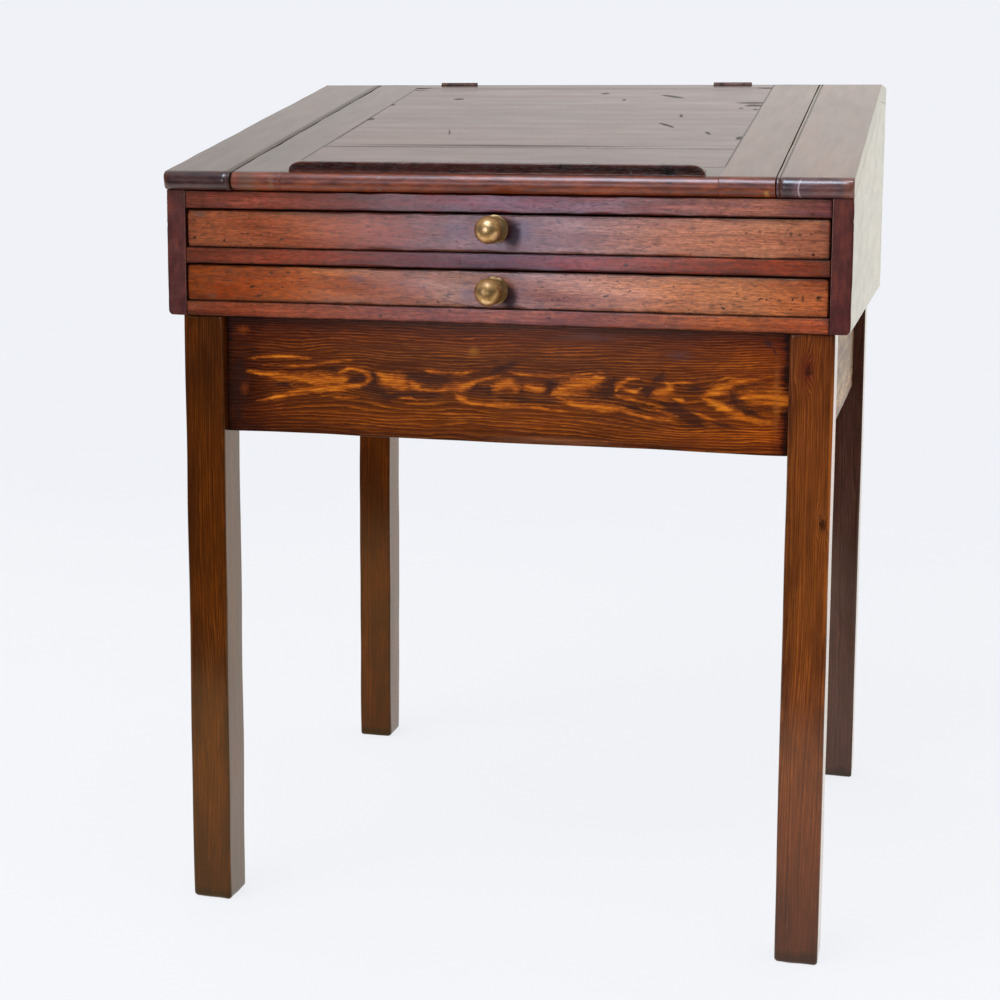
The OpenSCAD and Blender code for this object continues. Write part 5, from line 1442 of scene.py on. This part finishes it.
studio = {
    "paper": (240, 242, 247), "paperNear": (249, 250, 254), "paperFrom": -0.9, "paperTo": 2.6,
    "floorHalf": 5.0, "floorNear": -1.15, "floorFar": 6.0,
    "floorPlain": 0.85,      # share of the plain paper colour in what the camera sees of the floor
    "floorGlow": (1.0, 0.97, 0.93, 1.0), "floorGlowPower": 1.24,     # the floor as the pieces mirror it
    "floorTones": ((0.35, (0.915, 0.925, 0.952, 1)), (0.65, (0.945, 0.955, 0.975, 1))),
    "skyDiffuse": 0.80, "skyDiffuseTone": (0.97, 0.985, 1.0, 1.0),
    "skyBehind": 1.02, "skyFront": 0.06, "skyTop": 0.7, "skyLean": 0.95, "skyLeanMost": 1.33,
    "skyLeftTone": (1.0, 0.965, 0.935, 1.0), "skyRightTone": (0.965, 0.97, 0.885, 1.0),
    # where the mirrored sky changes, as parts of the direction's length along x, y and z
    "skyTintFade": (-0.08, 0.04), "skyFade": (-0.35, 0.2), "skyTopFade": (0.55, 0.95), "skyLeanFrom": -0.38,
    "sun": 0.75, "sunWide": 50, "sunAhead": (math.sin(math.radians(38)) * 0.8, 0.75, -0.75),
    "leftBox": {"place": (-0.50, -2.55, 0.88), "aim": (0.0, -0.31, 0.78), "size": (0.78, 0.6),
                "power": 12.0, "tint": (0.80, 0.87, 1.0)},
    "topBox": {"place": (-0.08, -1.1, 2.3), "aim": (0.1, -0.3, 0.85), "size": (0.9, 0.7),
               "power": 41.0, "tint": (0.68, 0.83, 1.0)},
}


def makeWorld():
    # the sky mirrored by the pieces is bright behind the desk, more so at the right, and dim in front of it
    world = bpy.data.worlds.new("studio")
    bpy.context.scene.world = world
    world.use_nodes = True
    world.node_tree.nodes.clear()
    sky = Nodes(world.node_tree)
    parts = sky.split(sky.add("TexCoord", {}).outputs["Generated"])
    behind = sky.spread(parts[1], *studio["skyFade"], studio["skyFront"], studio["skyBehind"])
    lean = sky.plus(1.0, sky.times(sky.minus(parts[0], studio["skyLeanFrom"]), studio["skyLean"]))
    behind = sky.times(behind, sky.calc("MINIMUM", lean, studio["skyLeanMost"]))
    up = sky.spread(parts[2], *studio["skyTopFade"])
    glossy = sky.add("Mix", {0: up, 2: behind, 3: studio["skyTop"]}, data_type="FLOAT").outputs[0]
    atRight = sky.spread(parts[0], *studio["skyTintFade"])
    tint = sky.blend("MIX", atRight, studio["skyLeftTone"], studio["skyRightTone"])
    path = sky.add("LightPath", {}).outputs
    lit = sky.glow("Background", studio["skyDiffuseTone"], studio["skyDiffuse"])
    mirrored = sky.glow("Background", tint, glossy)
    seen = sky.glow("Background", paint(*studio["paper"]), 1.0)
    mixed = sky.overlay(path["Is Glossy Ray"], lit, mirrored)
    sky.add("OutputWorld", {"Surface": sky.overlay(path["Is Camera Ray"], mixed, seen)})


def hang(name, data, aim, place=(0, 0, 0)):
    # a lamp that shines from its place towards another
    holder = bpy.data.objects.new(name, data)
    bpy.context.scene.collection.objects.link(holder)
    holder.location = place
    holder.rotation_euler = (Vector(aim) - Vector(place)).to_track_quat("-Z", "Y").to_euler()
    return holder


def softBox(name):
    spec = studio[name]
    lamp = bpy.data.lights.new(name, "AREA")
    lamp.shape = "RECTANGLE"
    lamp.size, lamp.size_y = spec["size"]
    lamp.energy, lamp.color = spec["power"], spec["tint"]
    holder = hang(name, lamp, spec["aim"], spec["place"])
    holder.visible_diffuse = False
    holder.visible_camera = False


def makeFloor():
    # most of what the camera sees of the floor is the plain paper colour, so that its shadows stay faint, and
    # it grows a little brighter towards the front, as in the photograph
    half, near, far = studio["floorHalf"], studio["floorNear"], studio["floorFar"]
    mesh = bpy.data.meshes.new("floor")
    mesh.from_pydata([(-half, near, 0), (half, near, 0), (half, far, 0), (-half, far, 0)], [], [(0, 1, 2, 3)])
    paper = Finish("floor_paper", "object")
    shade = paper.ramp(paper.cloud(2.2, 5.0), studio["floorTones"])
    paper.set({"Base Color": shade, "Roughness": 1.0, "Specular IOR Level": 0.0})
    ahead = paper.spread(paper.part(1), studio["paperFrom"], studio["paperTo"])
    plainTone = paper.tones(ahead, (studio["paperNear"], studio["paper"]), (0.0, 1.0))
    plain = paper.glow("Emission", plainTone, 1.0)
    mirrored = paper.glow("Emission", studio["floorGlow"], studio["floorGlowPower"])
    path = paper.add("LightPath", {}).outputs
    share = paper.times(path["Is Camera Ray"], studio["floorPlain"])
    mixed = paper.overlay(share, paper.shader.outputs[0], plain)
    mixed = paper.overlay(path["Is Glossy Ray"], mixed, mirrored)
    paper.tree.links.new(mixed, paper.tree.nodes["Material Output"].inputs["Surface"])
    mesh.materials.append(paper.material)
    floor = bpy.data.objects.new("floor", mesh)
    bpy.context.scene.collection.objects.link(floor)


def makeStudio():
    makeWorld()
    sun = bpy.data.lights.new("sun", "SUN")
    sun.energy, sun.angle = studio["sun"], math.radians(studio["sunWide"])
    hang("sun", sun, studio["sunAhead"]).visible_glossy = False
    softBox("leftBox")
    softBox("topBox")
    makeFloor()


# Camera: the photograph's own view, solved from the corners of the desk; its focal length and centre are in
# pixels of the photograph

view = {"place": (0.4864, -2.1764, 0.8787), "yaw": 13.782, "pitch": 7.144, "roll": 0.398, "focal": 1791.8,
        "centre": (519.56, 372.37), "pixels": 1000, "sensor": 36.0}


def makeCamera():
    # the three axes of a level camera, turned by its yaw, then its pitch, then its roll
    yaw, pitch, roll = (math.radians(view[key]) for key in ("yaw", "pitch", "roll"))
    ahead = Vector((-math.sin(yaw), math.cos(yaw), 0))
    right = Vector((math.cos(yaw), math.sin(yaw), 0))
    up = Vector((0, 0, 1))
    look = ahead * math.cos(pitch) - up * math.sin(pitch)
    rise = up * math.cos(pitch) + ahead * math.sin(pitch)
    across = right * math.cos(roll) + rise * math.sin(roll)
    rise = rise * math.cos(roll) - right * math.sin(roll)
    pixels = view["pixels"]
    data = bpy.data.cameras.new("camera")
    data.sensor_width = view["sensor"]
    data.lens = view["focal"] * view["sensor"] / pixels
    data.shift_x = (pixels / 2 - view["centre"][0]) / pixels
    data.shift_y = (view["centre"][1] - pixels / 2) / pixels
    data.clip_start, data.clip_end = 0.05, 60.0
    camera = bpy.data.objects.new("camera", data)
    bpy.context.scene.collection.objects.link(camera)
    turn = Matrix((across, rise, -look)).transposed()
    camera.matrix_world = Matrix.Translation(view["place"]) @ turn.to_4x4()
    bpy.context.scene.camera = camera


makeStudio()
makeCamera()
bpy.context.scene.view_settings.view_transform = "Standard"
print("studio made")
